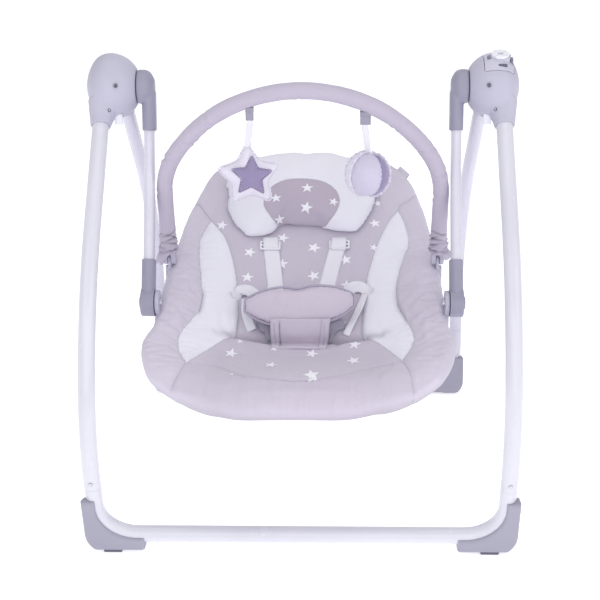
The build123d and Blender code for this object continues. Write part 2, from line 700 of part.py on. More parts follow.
def make_belly():
    """Padded wings around the waist."""
    dy, dz = PAD_BOT[0] - PAD_TOP[0], PAD_BOT[1] - PAD_TOP[1]
    L = hypot(dy, dz)
    ey, ez = dy / L, dz / L
    n = V3(0, ez, -ey)
    if n.Y > 0:
        n = n * -1
    us = [-1, -0.85, -0.6, -0.3, 0, 0.3, 0.6, 0.85, 1]
    top, bot = [], []
    for i in range(7):
        a = i / 6
        t, b = [], []
        for u in us:
            w = 76.0
            span = 1.0 - 0.45 * abs(u) ** 3
            s = 0.5 + (a - 0.5) * span
            c = V3(w * u - 1.0, PAD_TOP[0] + dy * s + 14.0 * abs(u) ** 2, PAD_TOP[1] + dz * s + 2.0 * abs(u) ** 2)
            th = 5.0 + 5.5 * (max(0.0, 1 - (2 * a - 1) ** 2) * max(0.0, 1 - u ** 4)) ** 0.5
            t.append(c + n * th)
            b.append(c - n * th)
        top.append(t)
        bot.append(b)
    return closed_grid(top, bot)


def make_crotch():
    """Crotch strap from the seat up to the underside of the waist pad."""
    n = V3(0, -0.75, 0.66)
    pts = []
    base = seat_xy(0, -134.0, 5.0)
    tip = V3(0, PAD_BOT[0] - 9.5, PAD_BOT[1] + 4.0)
    rows_w = [(0.0, 80.0), (0.35, 82.0), (0.7, 87.0), (1.0, 90.0)]
    top, bot = [], []
    for t, w in reversed(rows_w):
        c = base + (tip - base) * t
        c = V3(0, c.Y - 4.0 * sin(pi * t), c.Z)
        top.append([c + V3(-w / 2, 0, 0) + n * 3.0, c + n * 3.6, c + V3(w / 2, 0, 0) + n * 3.0])
        bot.append([c + V3(-w / 2, 0, 0) - n * 2.0, c - n * 2.0, c + V3(w / 2, 0, 0) - n * 2.0])
    c, nn = surf_frame(0, -166.0, 5.2)
    top.append([c + V3(-38, 0, 0) + nn * 2, c + nn * 2.4, c + V3(38, 0, 0) + nn * 2])
    bot.append([c + V3(-38, 0, 0) - nn * 2, c - nn * 2, c + V3(38, 0, 0) - nn * 2])
    return closed_grid(top, bot)


def make_waist(sx):
    """Webbing from the side of the waist pad into the seat."""
    a = V3(sx * 79.0, PAD_TOP[0] + 0.5 * (PAD_BOT[0] - PAD_TOP[0]) + 14.0, 333.0)
    b, nb = surf_frame(sx * 118.0, -54.0, 14.0)
    pts = []
    for k in range(6):
        t = k / 5
        c = a + (b - a) * t + V3(0, 0, 5.0 * sin(pi * t))
        pts.append(c)
    top, bot = [], []
    up = V3(0, 0.42, 0.907)
    out = V3(0, -0.907, 0.42)
    order = pts if sx > 0 else list(reversed(pts))
    for k in (1, -1):
        top.append([c + up * (k * 12.5) + out * 1.1 for c in order])
        bot.append([c + up * (k * 12.5) - out * 1.1 for c in order])
    return closed_grid(top, bot)


def back_path():
    vs = [5.62, 4.6, 3.2, 1.9, 1.0]
    right = [tube_pt(v, 1) for v in vs]
    topc = tube_pt(0.35, 1, 9.0, 0.72)
    pts = right + [topc]
    allp = pts + [V3(-p.X, p.Y, p.Z) for p in reversed(pts)]
    rads = [90, 90, 90, 60, 42, 42, 60, 90, 90, 90]
    return FilletPolyline(*allp, radius=rads), allp[0], allp[1] - allp[0]


def make_back_tube():
    return only(tube(*back_path(), 7.0, 5.8))


FRONT_DROP = (9.0, 11.0, 12.0, 12.0)


def make_front_tube():
    vs = [6.95, 8.1, 9.2, 10.2]
    right = [tube_pt(v, 1, FRONT_DROP[i], 0.9) for i, v in enumerate(vs)]
    topc = seat_pt(11.0, 0.6, -(edge_t(11.0, 0.6) + 12.0))
    pts = right + [V3(100.0, topc.Y, topc.Z)]
    allp = pts + [V3(-p.X, p.Y, p.Z) for p in reversed(pts)]
    rads = [60, 60, 55, 45, 45, 55, 60, 60]
    path = FilletPolyline(*allp, radius=rads)
    return only(tube(path, allp[0], allp[1] - allp[0], 7.0, 5.8))


def make_bracket(clear):
    """Side plate on the recline axis with a block that takes both seat tubes."""
    plate = rod((219.6, JY, JZ), (226.6, JY, JZ), 19.0)
    pa, pb = tube_pt(5.62, 1), tube_pt(6.95, 1, 9.0, 0.9)
    c = (pa + pb) * 0.5
    slope = degrees(atan2(pa.Z - pb.Z, pa.Y - pb.Y))
    web = Pos(223.1, -112.0, (JZ + c.Z) / 2) * Box(7.0, 28.0, JZ - c.Z)
    x0 = min(pa.X, pb.X) - 9.0
    block = Pos((x0 + 226.6) / 2, c.Y, c.Z - 1.5) * Rot(slope, 0, 0) * Box(226.6 - x0, (pa - pb).length + 22.0, 17.0)
    s = plate + web + block - clear
    s -= rod((200, JY, JZ), (240, JY, JZ), 4.0 + RUN)
    # sockets for the tube ends
    for p, q in ((pa, tube_pt(4.6, 1)), (pb, tube_pt(8.1, 1, FRONT_DROP[1], 0.9))):
        d = (q - p) * (1 / (q - p).length)
        s -= rod(tuple(p - d * 0.2), tuple(p + d * 80), 7.05)
    return keep_big(s)


def bar_plane():
    """x to +X, y up the leaning toy bar, origin on its pivot line."""
    yd = V3(0, -sin(deg(BAR_LEAN)), cos(deg(BAR_LEAN)))
    zd = V3(1, 0, 0).cross(yd)
    return Plane(origin=(0, BAR_Y, BAR_Z), x_dir=(1, 0, 0), z_dir=zd)


BAR_SIDE = 118.0         # straight side of the arch
BAR_A, BAR_B = BAR_X, 176.0
BAR_R1 = 130.0


def bar_path(h0):
    pl = bar_plane()
    a, b, r1 = BAR_A, BAR_B, BAR_R1
    r2 = ((a - r1) ** 2 + b * b - r1 * r1) / (2 * (b - r1))
    cx = a - r1
    cy = b - r2
    th = atan2(-cy, cx)
    P = lambda x, y: pl.from_local_coords(V3(x, y, 0))
    hs = BAR_SIDE
    j = (cx + r1 * cos(th), hs + r1 * sin(th))
    m = (cx + r1 * cos(th / 2), hs + r1 * sin(th / 2))
    es = [Edge.make_line(P(-a, h0), P(-a, hs)),
          Edge.make_three_point_arc(P(-a, hs), P(-m[0], m[1]), P(-j[0], j[1])),
          Edge.make_three_point_arc(P(-j[0], j[1]), P(0, hs + b), P(j[0], j[1])),
          Edge.make_three_point_arc(P(j[0], j[1]), P(m[0], m[1]), P(a, hs)),
          Edge.make_line(P(a, hs), P(a, h0))]
    return Wire(es), P(-a, h0), pl.y_dir


def bar_at(x):
    """Point of the arch centreline above x."""
    a, b, r1 = BAR_A, BAR_B, BAR_R1
    r2 = ((a - r1) ** 2 + b * b - r1 * r1) / (2 * (b - r1))
    y = BAR_SIDE + (b - r2) + sqrt(r2 * r2 - x * x)
    return bar_plane().from_local_coords(V3(x, y, 0))


def make_bar_tube():
    path, p0, d = bar_path(9.0)
    return only(tube(path, p0, d, 5.0, 3.8))


def make_bar_sleeve():
    path, p0, d = bar_path(21.0)
    return only(sweep(Plane(origin=p0, z_dir=d) * (Circle(12.4) - Circle(5.3)), path=path))


def make_bar_cap(sx):
    pl = bar_plane()
    b = Pos(0, 7.0, 0) * Box(20.0, 26.0, 19.0)
    b = pl * Pos(sx * BAR_A, 0, 0) * b
    low = rod((sx * BAR_A - 10, BAR_Y, BAR_Z), (sx * BAR_A + 10, BAR_Y, BAR_Z), 9.5)
    cutter = pl * Pos(sx * BAR_A, -20, 0) * Box(60, 40, 60)
    b = (b - cutter) + low
    try:
        b = fillet([e for e in b.edges() if abs(e.center().X) > BAR_A + 9 and e.length > 8], 2.0)
    except Exception:
        pass
    slot = Pos(sx * BAR_A, BAR_Y, BAR_Z - 4) * Box(6.0, 40, 26)
    b -= slot
    b -= pl * Pos(sx * BAR_A, 9.0 + 10, 0) * Rot(90, 0, 0) * Cylinder(5.05, 20)
    b -= rod((sx * BAR_A - 20, BAR_Y, BAR_Z), (sx * BAR_A + 20, BAR_Y, BAR_Z), 2.5)
    return keep_big(b)


def make_bar_lug(clear):
    """Upright lug on the back tube that carries one end of the toy bar."""
    x = BAR_A
    s = rod((x - 2.6, BAR_Y, BAR_Z), (x + 2.6, BAR_Y, BAR_Z), 7.0)
    c = tube_pt(4.5, 1)
    s += Pos(x, BAR_Y, (BAR_Z + c.Z - 4.0) / 2) * Box(5.2, 13.0, BAR_Z - c.Z + 4.0)
    z1 = BAR_Z - 13.0
    s += Pos(x + 2.2, BAR_Y, (z1 + c.Z - 4.0) / 2) * Box(9.6, 13.0, z1 - c.Z + 4.0)
    s += Pos((c.X + x + 7.0) / 2, BAR_Y, c.Z - 2.0) * Box(x + 7.0 - c.X, 13.0, 4.0)
    path, p0, d = back_path()
    s = s - clear - sweep(Plane(origin=p0, z_dir=d) * Circle(7.03), path=path)
    s -= rod((x - 20, BAR_Y, BAR_Z), (x + 20, BAR_Y, BAR_Z), 2.5 + RUN)
    return keep_big(s)


def star_face(r_out, r_in, n=5, rot=0.0, soft=0.0):
    pts = []
    for k in range(2 * n):
        r = r_out if k % 2 == 0 else r_in
        a = radians(90 + 180.0 / n * k) + rot
        pts.append((r * cos(a), r * sin(a)))
    f = Face(Wire.make_polygon([V3(x, y, 0) for x, y in pts], close=True))
    if soft:
        try:
            f = fillet(f.vertices(), soft)
        except Exception:
            pass
    return f


def hang(x):
    """Hanging point under the arch."""
    p = bar_at(x)
    return V3(x, p.Y, p.Z - 17.5)


STAR_X, BALL_X = -78.0, 96.0


def make_star():
    h = hang(STAR_X)
    c = V3(STAR_X + 1.0, h.Y, h.Z - 103.0)
    face = Plane(origin=c, x_dir=(1, 0, 0), z_dir=(0, -1, 0)) * Rot(0, 0, 8) * star_face(49, 27, soft=5.0)
    big = extrude(face, amount=13.0, both=True)
    c2 = V3(STAR_X + 9.0, h.Y - 13.3, h.Z - 105.0)
    f2 = Plane(origin=c2, x_dir=(1, 0, 0), z_dir=(0, -1, 0)) * Rot(0, 0, -12) * star_face(30, 17, soft=4.0)
    small = extrude(f2, amount=12.0)
    top = c.Z + 44.0
    rib = Pos(STAR_X, h.Y, (h.Z + top) / 2) * Box(11.0, 2.4, h.Z - top)
    rib += rod((STAR_X - 5.5, h.Y, h.Z), (STAR_X + 5.5, h.Y, h.Z), 1.2)
    return [only(big), only(small), only(rib - big)]


def make_ball():
    h = hang(BALL_X)
    c = V3(BALL_X + 2.0, h.Y, h.Z - 96.0)
    s = Pos(c) * Sphere(33.0)
    top = c.Z + 33.2
    rib = Pos(BALL_X, h.Y, (h.Z + top) / 2) * Box(11.0, 2.4, h.Z - top)
    rib += rod((BALL_X - 5.5, h.Y, h.Z), (BALL_X + 5.5, h.Y, h.Z), 1.2)
    return [only(s), only(rib)]


# ---------------------------------------------------------------- nodes
NODES = {}


def add(name, *shapes):
    flat = []
    for s in shapes:
        if isinstance(s, (list, tuple)):
            flat += list(s)
        else:
            flat.append(s)
    sol = []
    for s in flat:
        sol += [s] if isinstance(s, Solid) else list(s.solids())
    NODES[name] = sol


def pair(name, s):
    add(name, s, mirror_x(s))


def build():
    for front in (True, False):
        tag = "front" if front else "rear"
        leg = make_leg(front)
        add(tag + "_leg_right", leg)
        add(tag + "_leg_left", mirror_x(leg))
        add(tag + "_base_tube", make_base(front))
        cov = make_cover(front)
        pair(tag + "_corner_covers", cov)
        pad = make_pad(front)
        pair(tag + "_foot_pads", pad)
        # sprung snap pin that locks the leg to the base tube
        p = base_point(front, FRONT_X if front else REAR_X, JOINT_V + 13)
        nd = V3(0, (-1 if front else 1) * cos(deg(LEAN)), -sin(deg(LEAN)))
        rr = (FRONT_D if front else REAR_D) / 2
        pin = rod(tuple(V3(*p) + nd * (rr - 5.0)), tuple(V3(*p) + nd * (rr + 1.6)), 3.3)
        hole = rod(tuple(V3(*p)), tuple(V3(*p) + nd * (rr + 6)), 3.4)
        for side in ("left", "right"):
            n = f"{tag}_leg_{side}"
            h = hole if side == "right" else mirror_x(hole)
            NODES[n] = [keep_big(NODES[n][0] - h)]
        NODES[tag + "_base_tube"] = [keep_big(NODES[tag + "_base_tube"][0] - hole - mirror_x(hole))]
        pair(tag + "_snap_pins", pin)

    for right in (False, True):
        side = "right" if right else "left"
        inner, outer = make_housing(right)
        f = (lambda q: q) if right else mirror_x
        add("housing_inner_" + side, f(inner))
        add("housing_outer_" + side, f(outer))
    screws = []
    for p, d in surf_screws():
        pp, dd = V3(*p), V3(*d)
        dd = dd * (1 / dd.length)
        s = rod(tuple(pp + dd * 1.6), tuple(pp + dd * 4.0), 3.0) + rod(tuple(pp + dd * 3.9), tuple(pp + dd * 14.0), 1.4)
        s -= Plane(origin=pp + dd * 1.6, z_dir=dd) * Box(4.0, 0.8, 1.6)
        s -= Plane(origin=pp + dd * 1.6, z_dir=dd) * Box(0.8, 4.0, 1.6)
        screws += [s, mirror_x(s)]
    add("housing_screws", *screws)
    bush = ring((256.0, 0, HUB_Z), (SPLIT_X - 0.1, 0, HUB_Z), 7.0, SHAFT_R + RUN)
    pair("pivot_bushes", bush)

    pair("leg_knuckles", make_knuckle())

    fold = Pos(283, -24.0, 598.0) * Box(12.0, 13.0, 17.0, align=(Align.CENTER, Align.CENTER, Align.MIN))
    try:
        fold = fillet(fold.edges().filter_by(Axis.Z), 2.0)
        fold = fillet(fold.faces().sort_by(Axis.Z)[0].edges(), 1.2)
    except Exception:
        pass
    add("fold_button_right", fold)
    add("fold_button_left", mirror_x(fold))

    # drive and electronics in the right housing
    shaft = rod((234.2, 0, HUB_Z), (300.6, 0, HUB_Z), SHAFT_R)
    collar = ring((-300.0, 0, HUB_Z), (-294.6, 0, HUB_Z), 8.5, SHAFT_R)
    add("pivot_shafts", shaft, mirror_x(shaft), collar)
    lever = rod((296.0, 0, HUB_Z), (300.0, 0, HUB_Z), 9.0) + Pos(298.0, 0, HUB_Z + 16) * Box(4.0, 13.0, 32.0) + rod((296.0, 0, HUB_Z + 30), (300.0, 0, HUB_Z + 30), 8.0)
    lever -= rod((290, 0, HUB_Z), (305, 0, HUB_Z), SHAFT_R)
    add("magnet_lever", lever, rod((300.0, 0, HUB_Z + 30), (303.2, 0, HUB_Z + 30), 6.5))
    coil = ring((304.4, 0, HUB_Z + 30), (305.4, 0, HUB_Z + 30), 8.0, 2.5) + ring((305.4, 0, HUB_Z + 30), (312.4, 0, HUB_Z + 30), 7.4, 2.5) + ring((312.4, 0, HUB_Z + 30), (313.4, 0, HUB_Z + 30), 8.0, 2.5)
    add("drive_coil", coil)
    add("circuit_board", Pos(306.5, -28.0, HUB_Z + 11.0) * Box(19.0, 1.6, 26.0))
    add("speaker", rod((318.8, 0, HUB_Z - 1), (323.0, 0, HUB_Z - 1), 12.0))
    cells = []
    for x, y in ((302.6, 24.0), (302.6, 34.6), (313.2, 12.6), (313.2, 23.2)):
        cells.append(Pos(x, y, HUB_Z - 1) * Cylinder(5.25, 44.5))
    add("battery_cells", *cells)
    door = (dome(0.0) - dome(SHELL_T)) & door_region(0.0)
    add("battery_door", keep_big(door))
    inlet = ring((302, 34.0, HUB_Z + 31), (302, 46.0, HUB_Z + 31), 5.9, 2.75) + rod((302, 32.0, HUB_Z + 31), (302, 34.2, HUB_Z + 31), 5.9)
    add("supply_inlet", inlet)
    add("control_panel", make_panel())
    for k, n in enumerate(("speed_up_button", "sound_button", "speed_down_button", "timer_button")):
        add(n, make_quadrant(k))
    add("power_button", make_side_button(0))
    add("volume_button", make_side_button(1))
    add("indicator_window", only(lens_shape(0.2, 2.6)))

    # swing arms
    hub = make_arm_hub()
    pair("arm_hubs", hub)
    at = make_arm_tube()
    add("swing_arm_right", at)
    add("swing_arm_left", mirror_x(at))
    aj = make_arm_joint()
    add("recline_joints", aj, mirror_x(aj))
    bolt = rod((219.8, JY, JZ), (236.0, JY, JZ), 4.0) + rod((216.6, JY, JZ), (219.55, JY, JZ), 6.5)
    pair("recline_bolts", bolt)
    rb = rod((243.9, JY, JZ), (251.0, JY, JZ), 10.0)
    try:
        rb = fillet(rb.faces().sort_by(Axis.X)[-1].edges(), 1.6)
    except Exception:
        pass
    add("recline_button_right", rb)
    add("recline_button_left", mirror_x(rb))

    # seat
    add("seat_back_tube", make_back_tube())
    add("seat_front_tube", make_front_tube())
    clear = seat_clear()
    pair("seat_brackets", make_bracket(clear))
    add("seat_cover", make_cover_pad())
    add("head_pillow", make_pillow())
    add("shoulder_straps", make_shoulder(-1), make_shoulder(1))
    add("strap_adjusters", make_adjuster(-1), make_adjuster(1))
    add("waist_belts", make_waist(-1), make_waist(1))
    add("waist_pad", make_belly())
    add("crotch_strap", make_crotch())
    pair("toy_bar_lugs", make_bar_lug(clear))

    add("toy_bar_tube", make_bar_tube())
    add("toy_bar_sleeve", make_bar_sleeve())
    pin = rod((BAR_A - 9.0, BAR_Y, BAR_Z), (BAR_A + 9.0, BAR_Y, BAR_Z), 2.5)
    add("toy_bar_ends", make_bar_cap(-1), make_bar_cap(1), pin, mirror_x(pin))
    add("star_toy", make_star())
    add("ball_toy", make_ball())


build()

# origin: middle of the outline on the floor
lo, hi = [1e9] * 3, [-1e9] * 3
for sols in NODES.values():
    for s in sols:
        b = s.bounding_box()
        for i, (p, q) in enumerate(zip((b.min.X, b.min.Y, b.min.Z), (b.max.X, b.max.Y, b.max.Z))):
            lo[i], hi[i] = min(lo[i], p), max(hi[i], q)
shift = -(lo[1] + hi[1]) / 2
print("box before the shift", [round(q, 2) for q in lo], [round(q, 2) for q in hi], "shift Y", round(shift, 3))
os.makedirs("parts", exist_ok=True)
for name, sols in NODES.items():
    moved = [s.moved(Location((-(lo[0] + hi[0]) / 2, shift, -lo[2]))) for s in sols]
    export_step(moved[0] if len(moved) == 1 else Compound(children=moved), f"parts/{name}.step")
print(len(NODES), "nodes")
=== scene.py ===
import json
import math
import random

import bmesh
import bpy
import numpy as np
from mathutils import Matrix, Vector, noise
from mathutils.bvhtree import BVHTree
from mathutils.kdtree import KDTree


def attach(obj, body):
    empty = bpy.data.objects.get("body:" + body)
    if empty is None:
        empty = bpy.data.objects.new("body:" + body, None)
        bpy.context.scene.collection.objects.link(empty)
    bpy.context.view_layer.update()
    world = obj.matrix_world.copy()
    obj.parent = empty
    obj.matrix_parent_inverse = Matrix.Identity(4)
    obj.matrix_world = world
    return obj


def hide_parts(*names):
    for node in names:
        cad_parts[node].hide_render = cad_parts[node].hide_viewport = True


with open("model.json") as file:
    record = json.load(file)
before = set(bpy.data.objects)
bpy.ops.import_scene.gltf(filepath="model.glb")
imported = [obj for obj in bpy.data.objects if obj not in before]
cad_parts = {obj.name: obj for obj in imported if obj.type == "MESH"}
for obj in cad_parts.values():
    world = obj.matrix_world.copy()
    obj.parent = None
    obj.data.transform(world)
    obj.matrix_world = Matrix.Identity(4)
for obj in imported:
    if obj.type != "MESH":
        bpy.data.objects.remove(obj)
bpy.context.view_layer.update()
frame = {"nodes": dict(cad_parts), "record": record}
NODES = frame["nodes"]
random.seed(11)
sin, cos, rad, pi = math.sin, math.cos, math.radians, math.pi

# ------------------------------------------------------------------ frame numbers (mm)
SH = 9.977              # the model's shift along Y
HUB_Z = 651.0
JY, JZ = -120.0, 340.0
BAR_Y, BAR_Z, BAR_LEAN, BAR_X = -12.0, 374.0, 12.5, 215.5
BAR_SIDE, BAR_B, BAR_R1 = 118.0, 176.0, 130.0
STAR_X, BALL_X = -78.0, 96.0


def M(p):
    """mm in the working frame to metres in the row frame."""
    p = np.asarray(p, float)
    return p * 0.001 + np.array([0.0, SH * 0.001, 0.0])


def MV(p):
    return Vector(M(p))


# ------------------------------------------------------------------ camera first
def make_camera():
    x0, y0, z0 = 0.0468, -2.0119 + SH * 0.001, 1.0836
    pit, yaw, rol = rad(21.34), rad(-1.506), rad(-0.409)
    fwd = Vector((sin(yaw) * cos(pit), cos(yaw) * cos(pit), -sin(pit)))
    right = Vector((cos(yaw), -sin(yaw), 0.0))
    up = right.cross(fwd)
    r = cos(rol) * right + sin(rol) * up
    u = -sin(rol) * right + cos(rol) * up
    m = Matrix((
        (r.x, u.x, -fwd.x, x0),
        (r.y, u.y, -fwd.y, y0),
        (r.z, u.z, -fwd.z, z0),
        (0, 0, 0, 1)))
    cam = bpy.data.cameras.new("camera")
    cam.sensor_width = 36.0
    cam.lens = 1317.0 / 600.0 * 36.0
    cam.clip_start, cam.clip_end = 0.05, 60.0
    o = bpy.data.objects.new("camera", cam)
    bpy.context.scene.collection.objects.link(o)
    o.matrix_world = m
    bpy.context.scene.camera = o
    return o


make_camera()


# ------------------------------------------------------------------ materials
class Nodes:
    """Small helper around a node material."""

    def __init__(self, name):
        self.m = bpy.data.materials.new(name)
        self.m.use_nodes = True
        self.t = self.m.node_tree
        self.p = self.t.nodes["Principled BSDF"]
        self.coord = None

    def new(self, kind, **k):
        n = self.t.nodes.new(kind)
        for a, b in k.items():
            setattr(n, a, b)
        return n

    def link(self, a, b):
        self.t.links.new(a, b)

    def obj(self):
        if self.coord is None:
            self.coord = self.new("ShaderNodeTexCoord")
        return self.coord.outputs["Object"]

    def uv(self):
        if self.coord is None:
            self.coord = self.new("ShaderNodeTexCoord")
        return self.coord.outputs["UV"]

    def noise(self, scale, detail=2.0, rough=0.5, vec=None):
        n = self.new("ShaderNodeTexNoise")
        n.inputs["Scale"].default_value = scale
        n.inputs["Detail"].default_value = detail
        n.inputs["Roughness"].default_value = rough
        self.link(vec or self.obj(), n.inputs["Vector"])
        return n.outputs["Fac"]

    def wave(self, scale, axis="X", vec=None, distort=0.0):
        n = self.new("ShaderNodeTexWave", bands_direction=axis)
        n.inputs["Scale"].default_value = scale
        n.inputs["Distortion"].default_value = distort
        self.link(vec or self.obj(), n.inputs["Vector"])
        return n.outputs["Fac"]

    def voronoi(self, scale, vec=None, feature="F1"):
        n = self.new("ShaderNodeTexVoronoi", feature=feature)
        n.inputs["Scale"].default_value = scale
        self.link(vec or self.obj(), n.inputs["Vector"])
        return n.outputs["Distance"]

    def math(self, op, a, b=None, clamp=False):
        n = self.new("ShaderNodeMath", operation=op, use_clamp=clamp)
        for i, x in enumerate((a, b)):
            if x is None:
                continue
            if isinstance(x, (int, float)):
                n.inputs[i].default_value = x
            else:
                self.link(x, n.inputs[i])
        return n.outputs[0]

    def ramp(self, fac, stops):
        n = self.new("ShaderNodeValToRGB")
        e = n.color_ramp.elements
        while len(e) < len(stops):
            e.new(0.5)
        for q, (pos, col) in zip(e, stops):
            q.position = pos
            q.color = (*col, 1.0) if len(col) == 3 else col
        self.link(fac, n.inputs["Fac"])
        return n.outputs["Color"]

    def mix(self, fac, a, b, mode="MIX"):
        n = self.new("ShaderNodeMix", data_type="RGBA", blend_type=mode)
        for key, x in (("Factor", fac), ("A", a), ("B", b)):
            sock = [s for s in n.inputs if s.name == key and (s.type == "RGBA" or key == "Factor" and s.type == "VALUE")][0]
            if isinstance(x, (int, float)):
                sock.default_value = x
            elif isinstance(x, tuple):
                sock.default_value = (*x, 1.0)
            else:
                self.link(x, sock)
        return [s for s in n.outputs if s.type == "RGBA"][0]

    def bump(self, height, strength, dist, chain=None):
        n = self.new("ShaderNodeBump")
        n.inputs["Strength"].default_value = strength
        n.inputs["Distance"].default_value = dist
        self.link(height, n.inputs["Height"])
        if chain is not None:
            self.link(chain, n.inputs["Normal"])
        return n.outputs["Normal"]

    def set(self, **k):
        for a, b in k.items():
            self.p.inputs[a.replace("_", " ")].default_value = b

    def color(self, c):
        self.link(c, self.p.inputs["Base Color"])

    def rough(self, c):
        self.link(c, self.p.inputs["Roughness"])

    def normal(self, c):
        self.link(c, self.p.inputs["Normal"])


def srgb(h):
    """#rrggbb to linear."""
    h = h.lstrip("#")
    out = []
    for i in (0, 2, 4):
        c = int(h[i:i + 2], 16) / 255
        out.append(c / 12.92 if c <= 0.04045 else ((c + 0.055) / 1.055) ** 2.4)
    return tuple(out)


def scaled(c, k):
    return tuple(min(1.0, x * k) for x in c)


def mat_coat(name, col, rough=0.22, coat=0.25):
    """Powder-coated tube: faint orange peel, slight tone drift."""
    n = Nodes(name)
    a = n.noise(9.0, 3.0)
    n.color(n.ramp(a, [(0.3, scaled(col, 0.965)), (0.7, scaled(col, 1.02))]))
    peel = n.noise(420.0, 2.0)
    n.rough(n.ramp(n.noise(30.0, 3.0), [(0.3, (rough * 0.85,) * 3), (0.75, (rough * 1.3,) * 3)]))
    n.normal(n.bump(peel, 0.18, 0.00025))
    n.set(Coat_Weight=coat, Coat_Roughness=0.08)
    return n.m


def mat_plastic(name, col, rough=0.42, grain=0.25, scale=900.0, spec=0.45):
    """Moulded plastic: fine spark-eroded texture, flow tone, gloss that varies in patches."""
    n = Nodes(name)
    big = n.noise(5.0, 4.0)
    fine = n.noise(scale, 2.0, 0.6)
    c = n.ramp(big, [(0.28, scaled(col, 0.95)), (0.72, scaled(col, 1.03))])
    n.color(n.mix(0.25, c, n.ramp(fine, [(0.35, scaled(col, 0.94)), (0.65, scaled(col, 1.05))])))
    n.rough(n.ramp(n.noise(45.0, 4.0), [(0.3, (rough * 0.88,) * 3), (0.75, (rough * 1.18,) * 3)]))
    n.normal(n.bump(fine, grain, 0.0002))
    n.set(Specular_IOR_Level=spec)
    return n.m


def mat_fabric(name, col, pitch=0.0011, tone=0.05, rough=0.86, sheen=0.25, bump=0.5, mottle=0.03, tint=None):
    """Plain weave in object space with soft tone drift."""
    n = Nodes(name)
    k = 2.0 * pi / pitch / 20.0          # a wave texture has scale * 20 / 2pi bands a metre
    wx, wy, wz = n.wave(k, "X", distort=0.6), n.wave(k, "Y", distort=0.6), n.wave(k, "Z", distort=0.6)
    weave = n.math("MULTIPLY", n.math("ADD", n.math("ADD", wx, wy), wz), 0.3333)
    fuzz = n.noise(1500.0, 2.0)
    big = n.noise(7.0, 4.0, 0.6)
    tint = tint or scaled(col, 1.0)
    c = n.ramp(big, [(0.30, scaled(col, 1.0 - tone)), (0.5, col), (0.72, scaled(tint, 1.0 + tone * 0.6))])
    c = n.mix(0.35, c, n.ramp(weave, [(0.25, scaled(col, 1.0 - tone * 2.2)), (0.7, scaled(col, 1.0 + tone))]))
    c = n.mix(0.5, c, n.ramp(fuzz, [(0.3, scaled(col, 1.0 - mottle * 2)), (0.7, scaled(col, 1.0 + mottle * 2))]))
    n.color(c)
    n.rough(n.ramp(weave, [(0.2, (min(1, rough * 1.08),) * 3), (0.8, (rough * 0.94,) * 3)]))
    b = n.bump(weave, bump, 0.00035)
    n.normal(n.bump(fuzz, 0.25, 0.0002, b))
    n.set(Sheen_Weight=sheen, Sheen_Roughness=0.45, Specular_IOR_Level=0.25)
    return n.m


def mat_webbing(name, col, pitch=0.0023):
    """Woven webbing: crosswise ribs and lengthwise warp lines, from the strap's own coordinates in metres."""
    n = Nodes(name)
    k = 2.0 * pi / pitch / 20.0
    ribs = n.wave(k, "Y", vec=n.uv(), distort=0.15)
    warp = n.wave(k * 1.9, "X", vec=n.uv(), distort=0.3)
    h = n.math("MULTIPLY", n.math("ADD", n.math("MULTIPLY", ribs, 1.4), warp), 0.42)
    fuzz = n.noise(1100.0, 2.0)
    c = n.ramp(h, [(0.15, scaled(col, 0.88)), (0.8, scaled(col, 1.02))])
    n.color(n.mix(0.3, c, n.ramp(fuzz, [(0.3, scaled(col, 0.92)), (0.7, scaled(col, 1.03))])))
    n.normal(n.bump(h, 0.65, 0.0005))
    n.set(Roughness=0.72, Sheen_Weight=0.2, Sheen_Roughness=0.4, Specular_IOR_Level=0.3)
    return n.m


def mat_plush(name, col, tone=0.06):
    """Short pile plush: clumped nap and a strong sheen."""
    n = Nodes(name)
    nap = n.noise(700.0, 4.0, 0.7)
    clump = n.noise(120.0, 3.0)
    c = n.ramp(nap, [(0.3, scaled(col, 1 - tone * 1.6)), (0.65, scaled(col, 1 + tone * 0.6))])
    n.color(n.mix(0.35, c, n.ramp(clump, [(0.35, scaled(col, 1 - tone)), (0.65, scaled(col, 1 + tone * 0.5))])))
    b = n.bump(clump, 0.35, 0.0008)
    n.normal(n.bump(nap, 0.55, 0.0006, b))
    n.set(Roughness=0.92, Sheen_Weight=0.6, Sheen_Roughness=0.5, Specular_IOR_Level=0.15)
    return n.m


def mat_metal(name, col, rough=0.3):
    n = Nodes(name)
    s = n.noise(260.0, 3.0)
    n.color(n.ramp(n.noise(30.0, 3.0), [(0.3, scaled(col, 0.9)), (0.7, scaled(col, 1.05))]))
    n.rough(n.ramp(s, [(0.3, (rough * 0.8,) * 3), (0.7, (rough * 1.3,) * 3)]))
    n.normal(n.bump(s, 0.1, 0.0001))
    n.set(Metallic=1.0)
    return n.m


def mat_board(name):
    n = Nodes(name)
    a = n.voronoi(160.0)
    n.color(n.ramp(a, [(0.2, (0.02, 0.10, 0.05)), (0.5, (0.03, 0.16, 0.08))]))
    n.set(Roughness=0.4)
    return n.m


C_TUBE = srgb("#dad9e3")
C_PLASTIC = srgb("#bcbacb")
C_COVER = srgb("#a09eae")
C_GREY = srgb("#c9c2d0")
C_WHITE = srgb("#ebeaf3")
C_PURPLE = srgb("#958bae")

